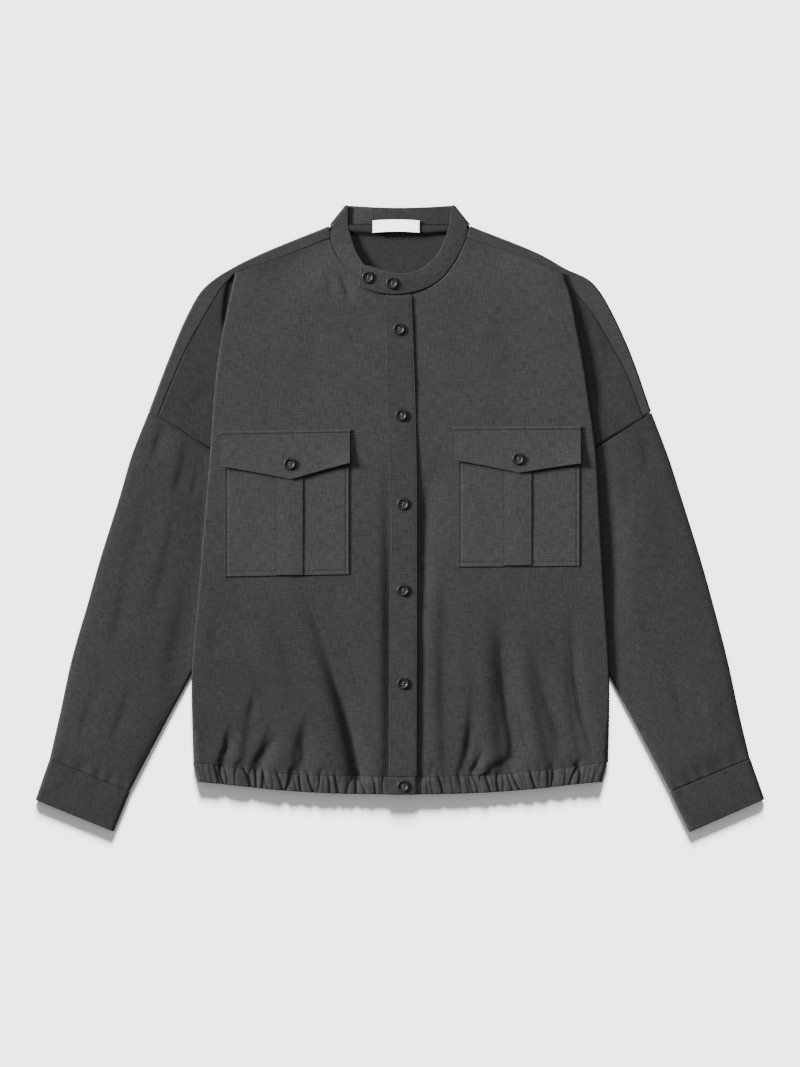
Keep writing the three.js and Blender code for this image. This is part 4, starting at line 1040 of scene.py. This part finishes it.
def button_shells(turned):
    """A dished disc with four holes, and the two threads that cross its middle."""
    profile = np.array(BUTTON_PROFILE) * [BUTTON_RADIUS, BUTTON_DEPTH]
    line = smooth_curve(profile, 8)(np.linspace(0, 1, BUTTON_ROWS))
    angle = 2 * np.pi * np.arange(BUTTON_SIDES) / BUTTON_SIDES + turned
    x = line[:, :1] * np.cos(angle)
    y = line[:, :1] * np.sin(angle)
    z = line[:, 1:] + 0 * x
    upper = (np.arange(BUTTON_ROWS) > 0.55 * BUTTON_ROWS)[:, None]
    for k in range(4):
        hole = turned + np.pi / 4 + k * np.pi / 2
        away = np.hypot(x - HOLE_REACH * np.cos(hole), y - HOLE_REACH * np.sin(hole))
        z = z - upper * 1.1 * (1 - smooth(away, 0.45, 0.95))
    grid = np.stack([x, y, z], -1)
    row_count, column_count = grid.shape[:2]
    j, i = np.meshgrid(np.arange(row_count - 1), np.arange(column_count), indexing="ij")
    after = (i + 1) % column_count
    quads = [j * column_count + i, j * column_count + after]
    quads += [(j + 1) * column_count + after, (j + 1) * column_count + i]
    quads = np.stack(quads, -1).reshape(-1, 4)
    caps = []
    for row in (0, row_count - 1):
        ring = row * column_count + np.arange(column_count)
        spans = range(column_count // 2 - 1)
        caps += [ring[[k, k + 1, column_count - 2 - k, column_count - 1 - k]] for k in spans]
    caps = np.array(caps)
    caps[: len(spans)] = caps[: len(spans), ::-1]
    quads = np.concatenate([quads, caps])
    disc = outward(grid.reshape(-1, 3), quads, np.zeros((len(quads), 4, 2)))
    threads = []
    for k in (0, 1):
        hole = turned + np.pi / 4 + np.pi / 2 * np.array([2 * k, 2 * k + 1])
        ends = np.stack([HOLE_REACH * np.cos(hole), HOLE_REACH * np.sin(hole)], -1)
        line = lift(mix(ends[0], ends[1], np.linspace(0, 1, 5)[:, None]), 0.6 * BUTTON_DEPTH + 0.35)
        threads.append(stitches(line, pitch=2.4, long=2.3, radius=0.34))
    return [disc, *threads]


def set_inputs(tree, node, inputs):
    """Each input takes a value, or the output of another node."""
    for name, value in inputs.items():
        if isinstance(value, bpy.types.NodeSocket):
            tree.links.new(value, node.inputs[name])
        else:
            node.inputs[name].default_value = value
    return node


def new_material(name, roughness, specular):
    """A material, its shader, and a function that adds a node of a kind with its inputs."""
    material = bpy.data.materials.new(name)
    material.use_nodes = True
    tree = material.node_tree
    shader = tree.nodes["Principled BSDF"]
    set_inputs(tree, shader, {"Roughness": roughness, "Specular IOR Level": specular})

    def add(kind, inputs, **settings):
        node = tree.nodes.new("ShaderNode" + kind)
        for setting, value in settings.items():
            setattr(node, setting, value)
        return set_inputs(tree, node, inputs)

    return material, shader, add


def cloth_material(name, tone, contrast=1.2, foot=1.0):
    """Plain weave of slubby threads: streaks along both threads, over a soft unevenness.
    foot is the share of the tone that is left at the hem, a painted shade that darkens the cloth towards the
    hem."""
    material, shader, add = new_material(name, 0.92, 0.06)
    uv = add("UVMap", {}, uv_map="cloth").outputs["UV"]

    def noise(scale, detail):
        scaled = add("Mapping", {"Scale": (*scale, 1), "Vector": uv}).outputs["Vector"]
        return add("TexNoise", {"Scale": 1, "Detail": detail, "Vector": scaled}).outputs["Fac"]

    def combine(operation, first, second):
        return add("Math", {0: first, 1: second}, operation=operation).outputs["Value"]

    crosswise, lengthwise = noise((90, 740), 1), noise((740, 90), 1)
    grain, cloud = noise((620, 620), 1), noise((22, 30), 3)
    threads = combine("ADD", combine("ADD", crosswise, lengthwise), combine("MULTIPLY", grain, 0.4))
    pattern = combine("ADD", combine("MULTIPLY", threads, 0.5), combine("MULTIPLY", cloud, 0.12))
    spread = add("MapRange", {"Value": pattern, "From Min": 0.43, "From Max": 0.89})
    dark, light = [(*[part * (1 + sign * 0.34 * contrast) for part in tone], 1) for sign in (-1, 1)]
    weave = {"Factor": spread.outputs["Result"], "A": dark, "B": light}
    blend = add("Mix", weave, data_type="RGBA")
    # Painted shade: the tone falls to the share foot from y = 0.12 m down to y = -0.25 m, standing in for
    # light that weakens towards the hem.
    place = add("TexCoord", {}).outputs["Object"]
    height = add("SeparateXYZ", {"Vector": place}).outputs["Y"]
    to_painted_falloff = {"Value": height, "From Min": -0.25, "From Max": 0.12, "To Min": foot}
    painted_falloff = add("MapRange", to_painted_falloff, interpolation_type="SMOOTHSTEP").outputs["Result"]
    painted_falloff_tone = add("VectorMath", {}, operation="SCALE")
    tree = material.node_tree
    set_inputs(tree, painted_falloff_tone, {"Vector": blend.outputs["Result"], "Scale": painted_falloff})
    bump = add("Bump", {"Strength": 0.5, "Distance": 0.25 * MM, "Height": threads})
    sheen = {"Sheen Weight": 0.012, "Sheen Roughness": 0.45}
    surface = {"Base Color": painted_falloff_tone.outputs["Vector"], "Normal": bump.outputs["Normal"]}
    set_inputs(tree, shader, {**surface, **sheen})
    return material


def hard_material(name, tone, roughness):
    """Button plastic, with a faint swirl in its tone."""
    material, shader, add = new_material(name, roughness, 0.18)
    place = add("TexCoord", {}).outputs["Object"]
    swirl = add("TexNoise", {"Scale": 260, "Detail": 3, "Vector": place}).outputs["Fac"]
    ramp = add("ValToRGB", {"Fac": swirl})
    for element, share in zip(ramp.color_ramp.elements, (0.8, 1.2)):
        element.color = (*[part * share for part in tone], 1)
    set_inputs(material.node_tree, shader, {"Base Color": ramp.outputs["Color"]})
    return material


TONE = 0.0143
CLOTH_TONE = (TONE, 1.06 * TONE, 0.985 * TONE)


def toned(share):
    return tuple(share * part for part in CLOTH_TONE)


shell_cloth = cloth_material("shell_cloth", CLOTH_TONE)
# Painted shade: the fronts keep 0.8 of their tone at the hem.
front_cloth = cloth_material("front_cloth", CLOTH_TONE, foot=0.8)
# Painted shade: darker copies of one cloth on the sleeves, arm layers, cuffs, inside of the back, band with
# placket, and collar stand in for the shade these parts lie in.
sleeve_shaded_cloth = cloth_material("sleeve_shaded_cloth", toned(0.82))
arm_shaded_cloth = cloth_material("arm_shaded_cloth", toned(0.73))
cuff_shaded_cloth = cloth_material("cuff_shaded_cloth", toned(0.77))
inner_shaded_cloth = cloth_material("inner_shaded_cloth", toned(0.78))
band_cloth = cloth_material("band_cloth", toned(0.9))
collar_cloth = cloth_material("collar_cloth", toned(0.96))
# Painted light: a lighter copy of the cloth on the pockets stands in for the light they catch.
pocket_lit_cloth = cloth_material("pocket_lit_cloth", toned(1.1))
thread_cloth = cloth_material("seam_thread", toned(1.9), contrast=0.5)
label_cloth = cloth_material("label_cloth", (0.84, 0.84, 0.82), contrast=0.06)
button_plastic = hard_material("button_plastic", (0.0032, 0.0035, 0.0036), 0.42)
button_thread = hard_material("button_thread", (0.1, 0.104, 0.1), 0.9)


def top_line(grid, thickness, row=None, column=None):
    """Points on a wall's upper face along one row or column of its grid."""
    line = grid[row] if column is None else grid[:, column]
    return line + [0, 0, thickness / 2 + 0.1]


def stitched(name, lines):
    return piece(name, [stitches(line) for line in lines], [thread_cloth])


back = piece("back_cloth", back_shells(), [shell_cloth, inner_shaded_cloth], ["back"], [0, 0, 1])

for side in SIGN:
    front_cloths = [front_cloth, arm_shaded_cloth]
    front = piece(f"front_{side}_cloth", front_shells(side), front_cloths, [f"front_{side}"], [0, 1])
    sleeve = piece(f"sleeve_{side}_cloth", [sleeve_shell(side)], [sleeve_shaded_cloth], [f"sleeve_{side}"])
    cuff = piece(f"cuff_{side}_cloth", [cuff_shell(side)], [cuff_shaded_cloth], [f"cuff_{side}"])

band_grid = hem_band_grid()
band = piece("hem_band_cloth", [shell(band_grid, BAND_CLOTH)], [band_cloth], ["hem_band"])

strip_grid = placket_grid()
strip = piece("placket_cloth", [shell(strip_grid, BAND_CLOTH)], [band_cloth], ["placket"])
strip_lines = [top_line(strip_grid, BAND_CLOTH, column=k)[::-1] for k in (1, -2)]
strip_thread = stitched("placket_stitches", strip_lines)

neck_grid = collar_grid()
collar = piece("collar_cloth", [shell(neck_grid, DOUBLE_CLOTH)], [collar_cloth], ["collar"])
collar_thread = stitched("collar_stitches", [top_line(neck_grid, DOUBLE_CLOTH, column=k) for k in (1, -2)])

label_parts = label_shells()
label_cloths = [label_cloth, thread_cloth]
label = piece("neck_label_cloth", label_parts, label_cloths, ["neck_label"], [0, 1, 1])

BUTTONS = {}
for side in SIGN:
    grids, button_place = pocket_grids(side)
    BUTTONS[f"button_pocket_{side}"] = button_place + [0, 0, DOUBLE_CLOTH / 2 + 0.1]
    walls = {"patch": PATCH_WALL, "pleat": CLOTH, "flap": DOUBLE_CLOTH, "welt": DOUBLE_CLOTH}
    nodes = {part: f"pocket_{part}_{side}" if part != "patch" else f"pocket_{side}" for part in walls}
    for part, grid in grids.items():
        wall = shell(grid, walls[part])
        piece(f"{nodes[part]}_cloth", [wall], [pocket_lit_cloth], [nodes[part]])
    patch_lines = [top_line(grids["patch"], PATCH_WALL, column=k) for k in (1, -2)]
    patch_lines.append(top_line(grids["patch"], PATCH_WALL, row=-2))
    pleat_lines = [top_line(grids["pleat"], CLOTH, column=k) for k in (1, -2)]
    flap_lines = [top_line(grids["flap"], DOUBLE_CLOTH, column=k) for k in (1, -2)]
    flap_lines.append(top_line(grids["flap"], DOUBLE_CLOTH, row=-3))
    pocket_thread = stitched(f"pocket_{side}_stitches", patch_lines + pleat_lines)
    flap_thread = stitched(f"pocket_flap_{side}_stitches", flap_lines)

PLACKET_BUTTONS = [(-1, 227), (1.5, 124), (3.6, 17.5), (3.6, -86), (3.6, -197.5)]
for k, (x, y) in enumerate(PLACKET_BUTTONS):
    z = front_level(x, y) + PLACKET_LIFT + BAND_CLOTH / 2 + 0.4
    BUTTONS[f"button_placket_{k + 1}"] = np.array([x, y, float(z)])
BUTTONS["button_hem"] = np.array([3.6, -320.5, BODY_LEVEL + TAB_LIFT + BAND_CLOTH / 2 + 0.3])
for k, (x, y) in enumerate([(-38.5, 289), (-9.6, 282)]):
    z = front_level(x, y - BUTTON_RADIUS) + 3 + DOUBLE_CLOTH / 2 + 0.6 * COLLAR_RISE
    BUTTONS[f"button_collar_{k + 1}"] = np.array([x, y, float(z)])
for k, (name, place) in enumerate(BUTTONS.items()):
    shells = [(points + place, quads, uvs) for points, quads, uvs in button_shells(0.35 * np.sin(2.7 * k))]
    piece(f"{name}_visual", shells, [button_plastic, button_thread], [name], [0, 1, 1])

SURFACE_TONE = 0.9
SURFACE_SIZE = 60  # metres
SURFACE_Z = -0.4 * MM


def add_surface():
    mesh = bpy.data.meshes.new("floor")
    half = SURFACE_SIZE / 2
    corners = [(-half, -half), (half, -half), (half, half), (-half, half)]
    mesh.from_pydata([(x, y, SURFACE_Z) for x, y in corners], [], [(0, 1, 2, 3)])
    floor = bpy.data.objects.new("floor", mesh)
    material = bpy.data.materials.new("pale_surface")
    material.use_nodes = True
    shader = material.node_tree.nodes["Principled BSDF"]
    shader.inputs["Base Color"].default_value = (SURFACE_TONE, SURFACE_TONE, SURFACE_TONE, 1)
    shader.inputs["Roughness"].default_value = 1
    shader.inputs["Specular IOR Level"].default_value = 0
    mesh.materials.append(material)
    bpy.context.scene.collection.objects.link(floor)


def add_light():
    """Soft studio light: the garment is lit from the left, and its shadow on the floor falls
    towards the hem, so each lamp lights one of the two."""
    lamps = {
        "window_left": {"lights": "garment", "energy": 19.8, "angle": 0.3, "towards": (0.94, -0.36, -0.52)},
        "fill_top": {"lights": "garment", "energy": 3.8, "angle": 0.9, "towards": (0.1, -0.8, -0.8)},
        "window_top": {"lights": "surface", "energy": 24.6, "angle": 0.3, "towards": (0, -1, -0.54)},
    }
    lit = {"garment": bpy.data.collections.new("garment"), "surface": bpy.data.collections.new("surface")}
    for shown in [item for item in bpy.context.scene.objects if item.type == "MESH"]:
        lit["surface" if shown.name == "floor" else "garment"].objects.link(shown)
    for name, lamp in lamps.items():
        data = bpy.data.lights.new(name, "SUN")
        data.energy = lamp["energy"]
        data.angle = lamp["angle"]
        window = bpy.data.objects.new(name, data)
        window.rotation_euler = Vector(lamp["towards"]).to_track_quat("-Z", "Y").to_euler()
        window.light_linking.receiver_collection = lit[lamp["lights"]]
        bpy.context.scene.collection.objects.link(window)
    world = bpy.data.worlds.new("room")
    world.use_nodes = True
    background = world.node_tree.nodes["Background"]
    background.inputs["Color"].default_value = (1, 1, 1, 1)
    background.inputs["Strength"].default_value = 0.5
    bpy.context.scene.world = world


add_surface()
add_light()
